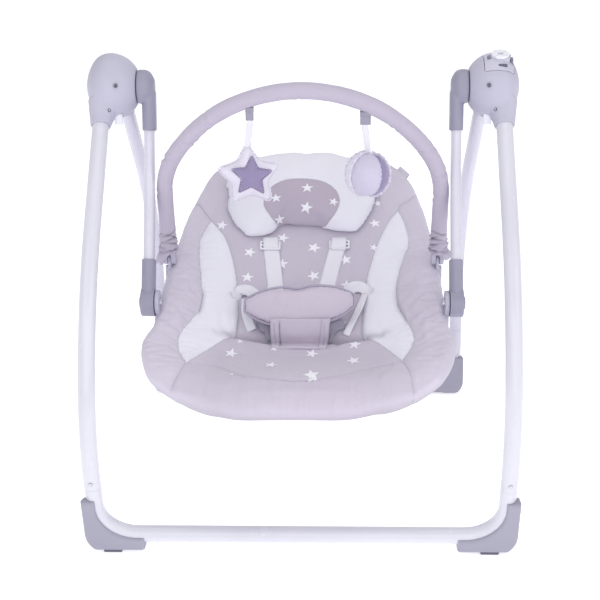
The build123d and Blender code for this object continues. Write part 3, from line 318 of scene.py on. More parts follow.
TUBE = mat_coat("tube_white", C_TUBE)
# painted shade: greyer copies of the white coat for the rear frame and the arm tubes, which fall in shade
TUBE_REAR_SHADED = mat_coat("tube_white_rear_shaded", srgb("#cfcddb"))
TUBE_ARM_SHADED = mat_coat("tube_white_arm_shaded", srgb("#d8d6e2"))
PLASTIC = mat_plastic("grey_plastic", C_PLASTIC)
COVER = mat_plastic("cover_plastic", C_COVER, rough=0.46)
DARK = mat_plastic("dark_plastic", srgb("#7d7a90"), rough=0.38)
WHITE = mat_plastic("white_plastic", srgb("#eeeef6"), rough=0.25, grain=0.08, spec=0.5)
PANEL = mat_plastic("panel_plastic", srgb("#c6c4d4"), rough=0.4)
RUBBER = mat_plastic("rubber", srgb("#6b6878"), rough=0.75, grain=0.5, scale=500.0, spec=0.3)
STEEL = mat_metal("steel", (0.62, 0.62, 0.66))
COPPER = mat_metal("copper", (0.72, 0.38, 0.2), 0.35)
BOARD = mat_board("board")
LENS = mat_plastic("lens", srgb("#57536a"), rough=0.12, grain=0.03, spec=0.6)
FABRIC = mat_fabric("grey_fabric", C_GREY, tint=srgb("#ccc0d0"))
FABRIC_IN = mat_fabric("grey_fabric_under", scaled(C_GREY, 0.86), tone=0.04)
FABRIC_W = mat_fabric("white_fabric", C_WHITE, tone=0.02, mottle=0.012, sheen=0.2, bump=0.35)
PRINT = mat_fabric("print_white", srgb("#f4f3f9"), tone=0.015, mottle=0.01, sheen=0.1, bump=0.3)
BINDING = mat_fabric("binding", srgb("#b2abbe"), pitch=0.0016, tone=0.07, bump=0.8)
WEB = mat_webbing("webbing_white", srgb("#eeedf5"))
WEB_G = mat_webbing("webbing_grey", srgb("#a5a3b4"), pitch=0.0018)
PLUSH_W = mat_plush("plush_white", srgb("#e3dfec"), 0.04)
PLUSH_P = mat_plush("plush_purple", C_PURPLE, 0.08)
PLUSH_L = mat_plush("plush_lavender", srgb("#cdc8dc"), 0.04)
TAG = mat_fabric("tag", srgb("#d3cfdc"), pitch=0.0014, tone=0.05, bump=0.6)


# ------------------------------------------------------------------ mesh helpers
def new_obj(name, me, body, mats, smooth=True):
    o = bpy.data.objects.new(name, me)
    bpy.context.scene.collection.objects.link(o)
    for m in (mats if isinstance(mats, (list, tuple)) else [mats]):
        me.materials.append(m)
    if smooth:
        me.polygons.foreach_set("use_smooth", [True] * len(me.polygons))
    me.update()
    if body:
        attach(o, body)
    return o


def build(name, verts, faces, body, mats, mi=None, uvs=None, weld=0.0, smooth=True):
    """Mesh from metres; uvs as one pair a vertex; degenerate faces dropped."""
    bm = bmesh.new()
    vs = [bm.verts.new(v) for v in verts]
    lay = bm.loops.layers.uv.new("UVMap") if uvs is not None else None
    for k, f in enumerate(faces):
        ids = []
        for i in f:
            if i not in ids:
                ids.append(i)
        if len(ids) < 3:
            continue
        try:
            q = bm.faces.new([vs[i] for i in ids])
        except ValueError:
            continue
        if mi is not None:
            q.material_index = mi[k]
        if lay:
            for lp, i in zip(q.loops, ids):
                lp[lay].uv = uvs[i]
    if weld > 0:
        bmesh.ops.remove_doubles(bm, verts=bm.verts, dist=weld)
        bmesh.ops.dissolve_degenerate(bm, edges=bm.edges, dist=weld * 0.5)
    loose = [v for v in bm.verts if not v.link_faces]
    bmesh.ops.delete(bm, geom=loose, context="VERTS")
    bmesh.ops.recalc_face_normals(bm, faces=bm.faces)
    me = bpy.data.meshes.new(name)
    bm.to_mesh(me)
    bm.free()
    return new_obj(name, me, body, mats, smooth)


def grid_faces(nr, nc, base=0, wrap=False, flip=False):
    out = []
    for i in range(nr - 1):
        for j in range(nc if wrap else nc - 1):
            a, b = base + i * nc + j, base + i * nc + (j + 1) % nc
            c, d = base + (i + 1) * nc + (j + 1) % nc, base + (i + 1) * nc + j
            out.append((a, d, c, b) if flip else (a, b, c, d))
    return out


def apply_mods(o):
    """The evaluated mesh becomes the object's mesh."""
    dg = bpy.context.evaluated_depsgraph_get()
    me = bpy.data.meshes.new_from_object(o.evaluated_get(dg), preserve_all_data_layers=True, depsgraph=dg)
    old = o.data
    o.modifiers.clear()
    o.data = me
    bpy.data.meshes.remove(old)
    me.polygons.foreach_set("use_smooth", [True] * len(me.polygons))
    return o


def subdiv(o, n=1, apply=True):
    m = o.modifiers.new("sub", "SUBSURF")
    m.levels = m.render_levels = n
    if apply:
        apply_mods(o)
    return o


def nz(p, s, seed=0.0):
    return noise.noise(Vector((p[0] * s + seed, p[1] * s - seed * 0.7, p[2] * s + seed * 1.3)))


def ease(t):
    t = min(1.0, max(0.0, t))
    return t * t * (3 - 2 * t)


def spline_pts(P, n, closed=False):
    """Catmull-Rom through points, n samples a span."""
    P = [np.asarray(p, float) for p in P]
    m = len(P)
    out = []
    for i in range(m if closed else m - 1):
        g = lambda k: P[k % m] if closed else P[max(0, min(m - 1, k))]
        p0, p1, p2, p3 = g(i - 1), g(i), g(i + 1), g(i + 2)
        for k in range(n):
            t = k / n
            out.append(0.5 * (2 * p1 + (p2 - p0) * t + (2 * p0 - 5 * p1 + 4 * p2 - p3) * t * t + (3 * p1 - p0 - 3 * p2 + p3) * t ** 3))
    if not closed:
        out.append(P[-1])
    return np.array(out)


def resample(P, step):
    P = np.asarray(P, float)
    d = np.r_[0, np.cumsum(np.linalg.norm(np.diff(P, axis=0), axis=1))]
    n = max(2, int(round(d[-1] / step)) + 1)
    s = np.linspace(0, d[-1], n)
    return np.stack([np.interp(s, d, P[:, k]) for k in range(P.shape[1])], 1), s


def ribbon(name, P, W, body, mat, width, thick, cross=8, stitch=True, step=2.2, declare=None, wave=0.0, wf=None):
    """Flat strap along mm points P, with width directions W (one a point or one for all)."""
    P = np.asarray(P, float)
    W = np.asarray(W, float)
    if W.ndim == 1:
        W = np.repeat(W[None], len(P), 0)
    Q, s = resample(np.hstack([P, W]), step)
    P, W = Q[:, :3], Q[:, 3:]
    T = np.gradient(P, axis=0)
    T /= np.linalg.norm(T, axis=1)[:, None]
    W = W - T * (W * T).sum(1)[:, None]
    W /= np.linalg.norm(W, axis=1)[:, None]
    N = np.cross(T, W)
    prof = []
    for k in range(cross + 1):
        a = -1 + 2 * k / cross
        prof.append((a, 1.0))
    for k in range(cross + 1):
        prof.append((1 - 2 * k / cross, -1.0))
    verts, uvs = [], []
    for i in range(len(P)):
        wi = width * (wf(s[i]) if wf else 1.0)
        for a, side in prof:
            e = 1.0 if abs(a) < 0.97 else 0.45
            rib = 0.12 * cos(a * 9 * pi) * (1 if abs(a) < 0.9 else 0)
            off = side * (thick / 2) * e + side * rib * thick * 0.3
            wv = wave * sin(s[i] * 0.11 + a * 1.3)
            verts.append(M(P[i] + W[i] * a * wi / 2 + N[i] * (off + wv)))
            uvs.append(((a * wi / 2) * 0.001, s[i] * 0.001))
    nc = len(prof)
    faces = grid_faces(len(P), nc, wrap=True)
    faces.append(tuple(range(nc)))
    faces.append(tuple((len(P) - 1) * nc + k for k in reversed(range(nc))))
    return build(name, verts, faces, body, mat, uvs=uvs, weld=1e-6)


def tube(name, P, r, body, mat, n=12, step=2.5, rf=None, caps=True, closed=False, mats=None):
    """Round tube along mm points, rf(s, angle, i) scales the radius."""
    P, s = resample(P, step)
    T = np.gradient(P, axis=0)
    T /= np.linalg.norm(T, axis=1)[:, None]
    ref = np.array([0.0, 0.0, 1.0]) if abs(T[0][2]) < 0.9 else np.array([1.0, 0.0, 0.0])
    U = np.cross(T[0], ref)
    U /= np.linalg.norm(U)
    verts = []
    for i in range(len(P)):
        U = U - T[i] * U.dot(T[i])
        U /= np.linalg.norm(U)
        V = np.cross(T[i], U)
        for k in range(n):
            a = 2 * pi * k / n
            q = r * (rf(s[i], a, i) if rf else 1.0)
            verts.append(M(P[i] + (U * cos(a) + V * sin(a)) * q))
    faces = grid_faces(len(P), n, wrap=True)
    if caps:
        faces.append(tuple(range(n)))
        faces.append(tuple((len(P) - 1) * n + k for k in reversed(range(n))))
    return build(name, verts, faces, body, mat)


# ------------------------------------------------------------------ seat surface (mm)
ROWS = np.array([
    (238, 478, 116, 234, 474, 16), (216, 467, 158, 212, 458, 20), (176, 445, 184, 176, 438, 24),
    (100, 398, 202, 104, 402, 24), (22, 350, 210.5, 28, 373, 24), (-48, 306, 212, -44, 349, 24),
    (-108, 276, 217, -112, 327, 24), (-136, 270, 218.5, -146, 316, 24), (-172, 268, 235, -186, 302, 26),
    (-228, 279, 232, -236, 285, 30), (-280, 292, 210, -280, 270, 34), (-318, 292, 180, -314, 260, 34),
    (-342, 272, 150, -332, 252, 20)], float)
VMAX = len(ROWS) - 1.0


def rows(v):
    v = np.clip(np.asarray(v, float), 0, VMAX)
    i = np.minimum(v.astype(int), len(ROWS) - 2)
    t = (v - i)[..., None]
    p0, p1, p2, p3 = ROWS[np.maximum(i - 1, 0)], ROWS[i], ROWS[i + 1], ROWS[np.minimum(i + 2, len(ROWS) - 1)]
    return 0.5 * (2 * p1 + (p2 - p0) * t + (2 * p0 - 5 * p1 + 4 * p2 - p3) * t ** 2 + (3 * p1 - p0 - 3 * p2 + p3) * t ** 3)


def raw(v, u):
    c = rows(v)
    k = np.abs(u) ** 2.2
    return np.stack([c[..., 2] * u, c[..., 0] + (c[..., 3] - c[..., 0]) * k, c[..., 1] + (c[..., 4] - c[..., 1]) * k], -1)


def normal_at(v, u):
    v, u = np.asarray(v, float), np.asarray(u, float)
    e = 0.08
    a = raw(np.minimum(v + e, VMAX), u) - raw(np.maximum(v - e, 0), u)
    b = raw(v, u + e) - raw(v, u - e)
    n = np.cross(b, a)
    n /= np.linalg.norm(n, axis=-1)[..., None]
    return np.where(n[..., 2:3] < 0, -n, n)


def seat_pt(v, u, off=0.0):
    v, u = np.asarray(v, float), np.asarray(u, float)
    return raw(v, u) + normal_at(v, u) * (off if np.isscalar(off) else np.asarray(off)[..., None])


def edge_t(v, u):
    return rows(v)[..., 5] * (1 - 0.45 * np.abs(u) ** 3)


def vu_of(x, y):
    """Seat coordinates under a plan position, by bisection."""
    x, y = np.broadcast_arrays(np.asarray(x, float), np.asarray(y, float))
    lo, hi = np.zeros(x.shape), np.full(x.shape, VMAX)
    for _ in range(34):
        m = (lo + hi) / 2
        u = x / rows(m)[..., 2]
        p = raw(m, u)
        go = p[..., 1] > y
        lo, hi = np.where(go, m, lo), np.where(go, hi, m)
    v = (lo + hi) / 2
    return v, x / rows(v)[..., 2]


# seams, read as (v, |u|)
SHO_L = [(2.46, 1.03), (2.58, .964), (2.78, .878), (3.00, .796)]
SHO_R = [(2.20, 1.03), (2.28, .99), (2.44, .914), (2.59, .827), (2.71, .80)]
OUT_L = [(3.00, .796), (3.26, .827), (3.55, .845), (3.76, .839), (3.96, .827), (4.24, .807), (4.52, .784), (4.80, .764), (5.14, .741),
         (5.51, .740), (5.74, .759), (6.10, .791), (6.91, .829), (7.38, .828), (7.83, .798), (8.23, .774), (8.79, .731)]
OUT_R = [(2.71, .800), (2.99, .822), (3.37, .832), (3.68, .826), (3.92, .792), (4.22, .752), (4.56, .716), (4.89, .696), (5.34, .700),
         (5.75, .733), (6.31, .766), (7.13, .776), (7.66, .734), (8.19, .686), (8.56, .657)]
INN_L = [(3.00, .796), (3.23, .704), (3.43, .643), (3.73, .588), (4.08, .544), (4.43, .516), (4.73, .503), (5.29, .480), (5.75, .474),
         (6.28, .484), (6.91, .550), (7.59, .605), (8.08, .646), (8.51, .694), (8.79, .731)]
INN_R = [(2.71, .800), (2.95, .714), (3.24, .648), (3.49, .598), (3.76, .557), (4.06, .519), (4.31, .493), (4.59, .479), (5.22, .455),
         (5.75, .436), (6.23, .443), (6.71, .497), (7.29, .553), (7.90, .589), (8.33, .632), (8.56, .657)]
COR_L = [(8.79, .731), (9.30, .795), (9.73, .877), (10.09, .945), (10.39, .985), (10.7, 1.03)]
COR_R = [(8.56, .657), (9.06, .709), (9.64, .787), (10.01, .848), (10.22, .886), (10.52, .935), (10.85, 1.03)]
FRONT = [(8.79, -.731), (8.84, -.64), (9.02, -.55), (9.43, -.481), (10.05, -.399), (10.45, -.248), (10.62, -.124), (10.63, .03),
         (10.55, .12), (10.26, .222), (9.84, .348), (9.24, .456), (8.80, .56), (8.56, .657)]
FOLD = [(6.24, -.484), (6.30, -.3), (6.34, 0.0), (6.30, .25), (6.22, .443)]


def smooth_line(pts, sign=1.0, n=14):
    a = spline_pts([(v, sign * u) for v, u in pts], n)
    return a


L_SHO, R_SHO = smooth_line(SHO_L, -1), smooth_line(SHO_R)
L_OUT, R_OUT = smooth_line(OUT_L, -1), smooth_line(OUT_R)
L_INN, R_INN = smooth_line(INN_L, -1), smooth_line(INN_R)
L_COR, R_COR = smooth_line(COR_L, -1), smooth_line(COR_R)
LFRONT, LFOLD = smooth_line(FRONT), smooth_line(FOLD)


def line_mm(L, step=0.8):
    """Seam line to mm points on the bare surface, evenly spaced."""
    P = raw(L[:, 0], L[:, 1])
    Q, s = resample(np.hstack([P, L]), step)
    return Q, s


def inside(poly, v, u):
    """Even-odd test in seat coordinates."""
    r = np.zeros(v.shape, bool)
    n = len(poly)
    for i in range(n):
        v1, u1 = poly[i]
        v2, u2 = poly[(i + 1) % n]
        if v1 == v2:
            continue
        c = (v1 > v) != (v2 > v)
        r ^= c & (u < (u2 - u1) * (v - v1) / (v2 - v1) + u1)
    return r


def dist_to(lines, P):
    """Distance from each point to the nearest sample of the lines; also the arc length there."""
    allp, alls = [], []
    for L in lines:
        Q, s = line_mm(L)
        allp.append(Q[:, :3])
        alls.append(s)
    A, S = np.vstack(allp), np.concatenate(alls)
    kd = KDTree(len(A))
    for i, p in enumerate(A):
        kd.insert(p, i)
    kd.balance()
    d, w = np.empty(len(P)), np.empty(len(P))
    for i, p in enumerate(P):
        _, k, q = kd.find(p)
        d[i], w[i] = q, S[k]
    return d, w


def noise_np(P, scale, seed=0.0):
    out = np.empty(len(P))
    for i, (x, y, z) in enumerate(P):
        out[i] = noise.noise(Vector((x * scale + seed, y * scale - seed, z * scale + 2 * seed)))
    return out


def lerp_steps(a, b, step_near, step_far, grow=1.35):
    """Distances from a border, fine first."""
    out, s = [0.0], step_near
    while out[-1] < b - a:
        out.append(out[-1] + s)
        s = min(step_far, s * grow)
    return np.array(out) / out[-1] * (b - a) + a


def u_samples(fine):
    w = 215.0
    d = lerp_steps(0, 30, 0.5, fine, 1.5)
    inner = np.linspace(30, w, int((w - 30) / fine) + 1)[1:]
    half = np.r_[d, inner] / w
    return np.r_[-1 + half, (1 - half[:-1])[::-1]]


def v_samples(fine):
    vv = np.linspace(0, VMAX, 2400)
    P = raw(vv, np.zeros_like(vv))
    s = np.r_[0, np.cumsum(np.linalg.norm(np.diff(P, axis=0), axis=1))]
    L = s[-1]
    d = lerp_steps(0, 24, 0.5, fine, 1.5)
    mid = np.linspace(24, L - 24, int((L - 48) / fine) + 1)[1:-1]
    t = np.r_[d, mid, (L - d)[::-1]]
    return np.interp(t, s, vv)


def crease(P, line, depth, width, ridge=0.0, fade=True):
    """A fold across the cloth: a groove with a ridge beside it, along mm points."""
    Q, s = resample(np.asarray(line, float), 1.0)
    kd = KDTree(len(Q))
    for i, p in enumerate(Q):
        kd.insert(p, i)
    kd.balance()
    out = np.zeros(len(P))
    L = s[-1]
    box_lo, box_hi = Q.min(0) - 6 * width, Q.max(0) + 6 * width
    near = ((P > box_lo) & (P < box_hi)).all(1)
    for i in np.nonzero(near)[0]:
        _, k, d = kd.find(P[i])
        if d < 6 * width:
            f = sin(pi * min(1, max(0, s[k] / L))) ** 0.6 if fade else 1.0
            out[i] += f * (-depth * math.exp(-(d / width) ** 2) + ridge * math.exp(-((d - 2.2 * width) / (1.3 * width)) ** 2))
    return out


def cover_height(v, u, P, N):
    """How far the padded cover stands off the bare surface, in mm."""
    wings = [np.vstack([L_OUT, L_INN[::-1]]), np.vstack([R_OUT, R_INN[::-1]])]
    seams = [L_SHO, R_SHO, L_OUT, R_OUT, L_INN, R_INN, L_COR, R_COR, LFRONT, LFOLD]
    d, arc = dist_to(seams, P)
    dw, _ = dist_to([L_OUT, L_INN, R_OUT, R_INN], P)
    win = inside(wings[0], v, u) | inside(wings[1], v, u)
    sd = np.where(win, dw, -dw)
    df, af = dist_to([LFRONT], P)
    dfo, _ = dist_to([LFOLD], P)
    dco, aco = dist_to([L_COR, R_COR], P)
    inn_u_l = np.interp(v, [q[0] for q in INN_L], [-q[1] for q in INN_L])
    inn_u_r = np.interp(v, [q[0] for q in INN_R], [q[1] for q in INN_R])
    centre = (u > inn_u_l) & (u < inn_u_r) & (v > 2.7) & ~win
    front_v = np.interp(u, [q[1] for q in FRONT], [q[0] for q in FRONT])
    bolster = (v > front_v) & (v > 8.4)
    amp = np.full(len(P), 5.2)
    amp[centre] = 3.6
    amp[win] = 5.0
    amp[bolster] = 6.0
    lam = np.full(len(P), 16.0)
    lam[win] = 13.0
    lam[bolster] = 20.0
    h = amp * (1 - np.exp(-d / lam))
    # flat where the pillow rests, and near the side plates
    h *= 1 - 0.75 * np.clip((2.9 - v) / 0.7, 0, 1) * (np.abs(u) < 0.66)
    near_plate = np.exp(-((v - 6.4) / 1.3) ** 2) * np.clip((np.abs(u) - 0.86) / 0.1, 0, 1)
    h *= 1 - 0.85 * near_plate
    # stitched grooves
    h -= 1.5 * np.exp(-(d / 2.6) ** 2)
    h -= 6.5 * np.exp(-(dfo / 6.0) ** 2)
    h -= 1.6 * np.exp(-(df / 3.0) ** 2)
    # gathers running off the seams
    soft = np.array([nz(p, 0.05, 3.0) for p in P])
    g = np.sin(arc * 0.55 + 3.2 * soft) * np.exp(-d / 9.0) * (1 - np.exp(-d / 2.0))
    h += 0.50 * g * np.where(bolster, 0.9, 0.8)
    h += 1.4 * np.sin(af * 0.30 + 2.2 * soft) * np.exp(-dfo / 22.0) * np.exp(-df / 90.0) * 0.35
    # hang of the cloth
    h += 2.4 * noise_np(P, 0.014, 5.0) + 0.9 * noise_np(P, 0.05, 9.0)
    rid = noise_np(P * np.array([0.35, 1.0, 1.0]), 0.075, 2.0)
    side = np.clip((np.abs(u) - 0.62) / 0.2, 0, 1) * np.clip((v - 3.0) / 1.0, 0, 1) * np.clip((9.5 - v) / 1.0, 0, 1)
    h += 2.6 * side * (1 - np.abs(rid) * 2.4)
    wr = noise_np(P * np.array([1.0, 0.3, 0.3]), 0.09, 7.0)
    h += 1.0 * np.where(bolster, 1.0, 0.4) * (1 - np.abs(wr) * 2.0)
    return h, sd, d


def front_end(u):
    """The bolster's front edge curves back towards the sides."""
    return VMAX - 2.7 * np.abs(u) ** 3.8


def front_roll(v, u):
    """The front lip hangs down in the middle."""
    k = np.clip((v - front_end(u) + 1.6) / 1.6, 0, 1) ** 1.6 * (1 - 0.75 * np.abs(u) ** 5)
    k = k * (1 + 0.45 * np.exp(-((u + 0.72) / 0.22) ** 2) + 0.12 * np.exp(-((u - 0.72) / 0.22) ** 2))
    return np.stack([np.zeros_like(k), -2.5 * k, -18.0 * k], -1)


# ------------------------------------------------------------------ placing by a picture position
CAM = bpy.context.scene.camera
CAM_M = np.array(CAM.matrix_world)
FPX = 1317.0


def px_ray(x, y):
    d = CAM_M[:3, :3] @ np.array([(x - 300) / FPX, -(y - 300) / FPX, -1.0])
    return Vector(CAM_M[:3, 3]), Vector(d / np.linalg.norm(d))


def to_px(P):
    """Picture positions of row-frame points in metres."""
    q = (np.asarray(P) - CAM_M[:3, 3]) @ CAM_M[:3, :3]
    return np.stack([300 + FPX * q[:, 0] / -q[:, 2], 300 - FPX * q[:, 1] / -q[:, 2]], 1)


def make_seat():
    fine = 2.3
    us, vs = u_samples(fine), v_samples(fine)
    V, U = np.meshgrid(vs, us, indexing="ij")
    nr, nc = V.shape
    u = U.ravel()
    vend = front_end(u)
    v = np.where(V.ravel() > 8.5, 8.5 + (V.ravel() - 8.5) * (vend - 8.5) / (VMAX - 8.5), V.ravel())
    P, N, T = raw(v, u), normal_at(v, u), edge_t(v, u)
    h, sd, d = cover_height(v, u, P, N)
    P = P + front_roll(v, u)
    for line, dep, wid, rg in FOLDS:
        Q = raw(*np.array(spline_pts(line, 8)).T)
        h += crease(P, Q, dep, wid, rg)
    # distance to the outer edge, in mm
    vv = np.linspace(0, VMAX, 2400)
    S = raw(vv, np.zeros_like(vv))
    s = np.r_[0, np.cumsum(np.linalg.norm(np.diff(S, axis=0), axis=1))]
    sv = np.interp(v, vv, s)
    half = rows(v)[:, 2]
    edge = np.minimum(np.minimum(sv, np.interp(vend, vv, s) - sv), (1 - np.abs(u)) * half)
    R = T * 0.5
    q = np.clip(1 - edge / R, 0, 1)
    drop = R * (1 - np.sqrt(np.clip(1 - q * q, 0, 1)))
    hh = h * np.clip(edge / R, 0, 1) ** 0.6
    side_out = np.clip(1 - edge / R, 0, 1)
    top = P + N * (hh - drop)[:, None]
    # the padded rim stands out a little past the frame line
    out_dir = np.stack([np.sign(u) * (np.abs(u) > 0.9), np.zeros_like(u), np.zeros_like(u)], -1)
    bulge = 3.2 * side_out * (1 - 0.9 * np.exp(-((v - 6.4) / 1.5) ** 2)) + 0.8 * side_out * noise_np(P, 0.05, 4.0)
    top += out_dir * bulge[:, None]
    rim_y = to_px(M(raw(v, np.sign(u) + (u == 0))))[:, 1]
    left = np.interp(rim_y, [150, 190, 205, 225, 245, 262, 275, 300, 320, 338, 350, 372, 386], [-6, -12, -8, -5, -4, 0, 5, 8, 8, 3, 0, -6, -8])
    right = np.interp(rim_y, [150, 205, 262, 275, 300, 312, 320, 335, 350, 360, 372, 386], [0, 0, 1, 4, 4, 3, 5, 0, -9, -13, -18, -20])
    grow = np.where(u < 0, -left, right) * np.clip((np.abs(u) - 0.35) / 0.65, 0, 1) ** 1.5
    grow *= np.where(np.abs(v - 6.35) < 1.4, 0.85, 1.0)
    top[:, 0] += grow
    bulge = bulge + 0.0
    # underside: coarser detail, pulled over the frame, gathered at the hem
    hem = np.exp(-((edge - 46) / 5.0) ** 2)
    gather = np.sin((sv + np.abs(u) * half * 0.6) * 0.42 + 2 * noise_np(P, 0.03, 1.0)) * np.clip(edge / 20, 0, 1) * np.exp(-np.abs(edge - 46) / 16.0)
    lower = np.clip((edge - 46) / 10, 0, 1)
    bot = P - N * (T - drop - 0.9 * gather - 1.8 * hem - 0.5 * lower)[:, None] + out_dir * bulge[:, None]
    bot[:, 0] += grow
    inner = np.ones((nr, nc), bool)
    idx_top = np.arange(nr * nc).reshape(nr, nc)
    idx_bot = idx_top + nr * nc
    border = np.zeros((nr, nc), bool)
    border[0, :] = border[-1, :] = border[:, 0] = border[:, -1] = True
    idx_bot[border] = idx_top[border]
    verts = np.vstack([top, bot])
    verts[idx_top[border]] = (top[idx_top[border].ravel()] + bot[idx_top[border].ravel()]) / 2
    a, b, c, e = idx_top[:-1, :-1], idx_top[1:, :-1], idx_top[1:, 1:], idx_top[:-1, 1:]
    f1 = np.stack([a, b, c, e], -1).reshape(-1, 4)
    a, b, c, e = idx_bot[:-1, :-1], idx_bot[:-1, 1:], idx_bot[1:, 1:], idx_bot[1:, :-1]
    f2 = np.stack([a, b, c, e], -1).reshape(-1, 4)
    used = np.zeros(len(verts), int)
    faces = np.vstack([f1, f2])
    used[faces.ravel()] = 1
    remap = np.cumsum(used) - 1
    keep = used.astype(bool)
    verts = verts[keep]
    faces = remap[faces]
    me = bpy.data.meshes.new("seat_cover_fabric")
    me.from_pydata(M(verts).tolist(), [], faces.tolist())
    sdv = np.concatenate([sd, np.full(nr * nc, -60.0)])[keep]
    dv = np.concatenate([d, np.full(nr * nc, 60.0)])[keep]
    # soft shade in the fold under the harness and along the wings' inner seams
    fold = np.exp(-((v - 6.42) / 0.26) ** 2) * np.clip((0.66 - np.abs(u)) / 0.12, 0, 1)
    fold = fold + 0.55 * np.exp(-((v - 6.1) / 0.7) ** 2) * np.clip((0.46 - np.abs(u)) / 0.2, 0, 1)
    fold = fold + 0.8 * np.exp(-(sd / 3.5) ** 2) * np.exp(-((v - 5.6) / 0.9) ** 2) * (np.abs(u) < 0.75)
    shv = np.concatenate([np.clip(fold, 0, 1), np.zeros(nr * nc)])[keep]
    for nm, val in (("wing", sdv), ("seam", dv), ("shade", shv)):
        at = me.attributes.new(nm, "FLOAT", "POINT")
        at.data.foreach_set("value", val.astype(np.float32))
    o = new_obj("seat_cover_fabric", me, None, [SEAT_MAT, FABRIC_IN])
    mi = np.r_[np.zeros(len(f1), int), np.ones(len(f2), int)]
    # the rolled rim keeps the top cloth
    ev = edge.reshape(nr, nc)
    e4 = (ev[:-1, :-1] + ev[1:, 1:]) / 2
    mi[len(f1):] = np.where(e4.ravel() < 44, 0, 1)
    me.polygons.foreach_set("material_index", mi.astype(np.int32))
    bm = bmesh.new()
    bm.from_mesh(me)
    bmesh.ops.recalc_face_normals(bm, faces=bm.faces)
    bm.to_mesh(me)
    bm.free()
    me.update()
    return o


def seat_material():
    """Grey and white cloth joined along the wing seams: the mask is the distance to the seam, in mm. Painted light
    lightens the grey towards the outer sides; painted shade darkens surfaces facing down, the fold under the harness
    and the wings' inner seams.
    """
    n = Nodes("seat_fabric")
    at = n.new("ShaderNodeAttribute", attribute_name="wing")
    se = n.new("ShaderNodeAttribute", attribute_name="seam")
    mask = n.math("ADD", n.math("MULTIPLY", at.outputs["Fac"], 1.6), 0.5, clamp=True)
    pitch = 0.0011
    k = 2.0 * pi / pitch / 20.0
    wx, wy, wz = n.wave(k, "X", distort=0.6), n.wave(k, "Y", distort=0.6), n.wave(k, "Z", distort=0.6)
    weave = n.math("MULTIPLY", n.math("ADD", n.math("ADD", wx, wy), wz), 0.3333)
    fuzz = n.noise(1500.0, 2.0)
    big = n.noise(5.5, 4.0, 0.6)
    mel = n.noise(240.0, 4.0, 0.7)

    def cloth(c, tint, tone, mottle):
        a = n.ramp(big, [(0.30, scaled(c, 1 - tone)), (0.5, c), (0.72, scaled(tint, 1 + tone * 0.6))])
        a = n.mix(0.35, a, n.ramp(weave, [(0.25, scaled(c, 1 - tone * 2.2)), (0.7, scaled(c, 1 + tone))]))
        a = n.mix(0.30, a, n.ramp(mel, [(0.35, scaled(c, 1 - mottle * 2)), (0.65, scaled(c, 1 + mottle * 2))]))
        return n.mix(0.4, a, n.ramp(fuzz, [(0.3, scaled(c, 1 - mottle * 2)), (0.7, scaled(c, 1 + mottle * 2))]))
    grey = cloth(C_GREY, srgb("#cbbdcd"), 0.045, 0.03)
    white = cloth(C_WHITE, C_WHITE, 0.012, 0.010)
    tc, xyz = n.new("ShaderNodeTexCoord"), n.new("ShaderNodeSeparateXYZ")
    n.m.node_tree.links.new(tc.outputs["Object"], xyz.inputs[0])
    # painted light: the grey cloth is lightened towards the outer side panels, by the distance from the middle in x
    side = n.math("MULTIPLY", n.math("SUBTRACT", n.math("ABSOLUTE", xyz.outputs["X"], 0.0), 0.12), 14.0, clamp=True)
    grey = n.mix(n.math("MULTIPLY", side, 0.6), grey, scaled(srgb("#cac5d2"), 1.20))
    c = n.mix(mask, grey, white)
    # painted shade: faces whose normal points down are darkened towards a dark grey
    nxyz = n.new("ShaderNodeSeparateXYZ")
    n.m.node_tree.links.new(tc.outputs["Normal"], nxyz.inputs[0])
    under = n.math("MULTIPLY", n.math("ADD", nxyz.outputs["Z"], 0.05), -1.3, clamp=True)
    c = n.mix(n.math("MULTIPLY", under, 0.55), c, scaled(C_GREY, 0.45))
    sh = n.new("ShaderNodeAttribute", attribute_name="shade")
    c = n.mix(n.math("MULTIPLY", sh.outputs["Fac"], 0.42), c, scaled(srgb("#7d7589"), 0.8))
    line = n.math("SUBTRACT", 1.15, n.math("MULTIPLY", se.outputs["Fac"], 0.75), clamp=True)
    dark = n.mix(n.math("MULTIPLY", line, 0.55), c, scaled(C_GREY, 0.34))
    n.color(dark)
    n.rough(n.ramp(weave, [(0.2, (0.93,) * 3), (0.8, (0.8,) * 3)]))
    b = n.bump(weave, 0.45, 0.00035)
    n.normal(n.bump(fuzz, 0.25, 0.0002, b))
    n.set(Sheen_Weight=0.25, Sheen_Roughness=0.45, Specular_IOR_Level=0.25)
    return n.m


SEAT_MAT = seat_material()
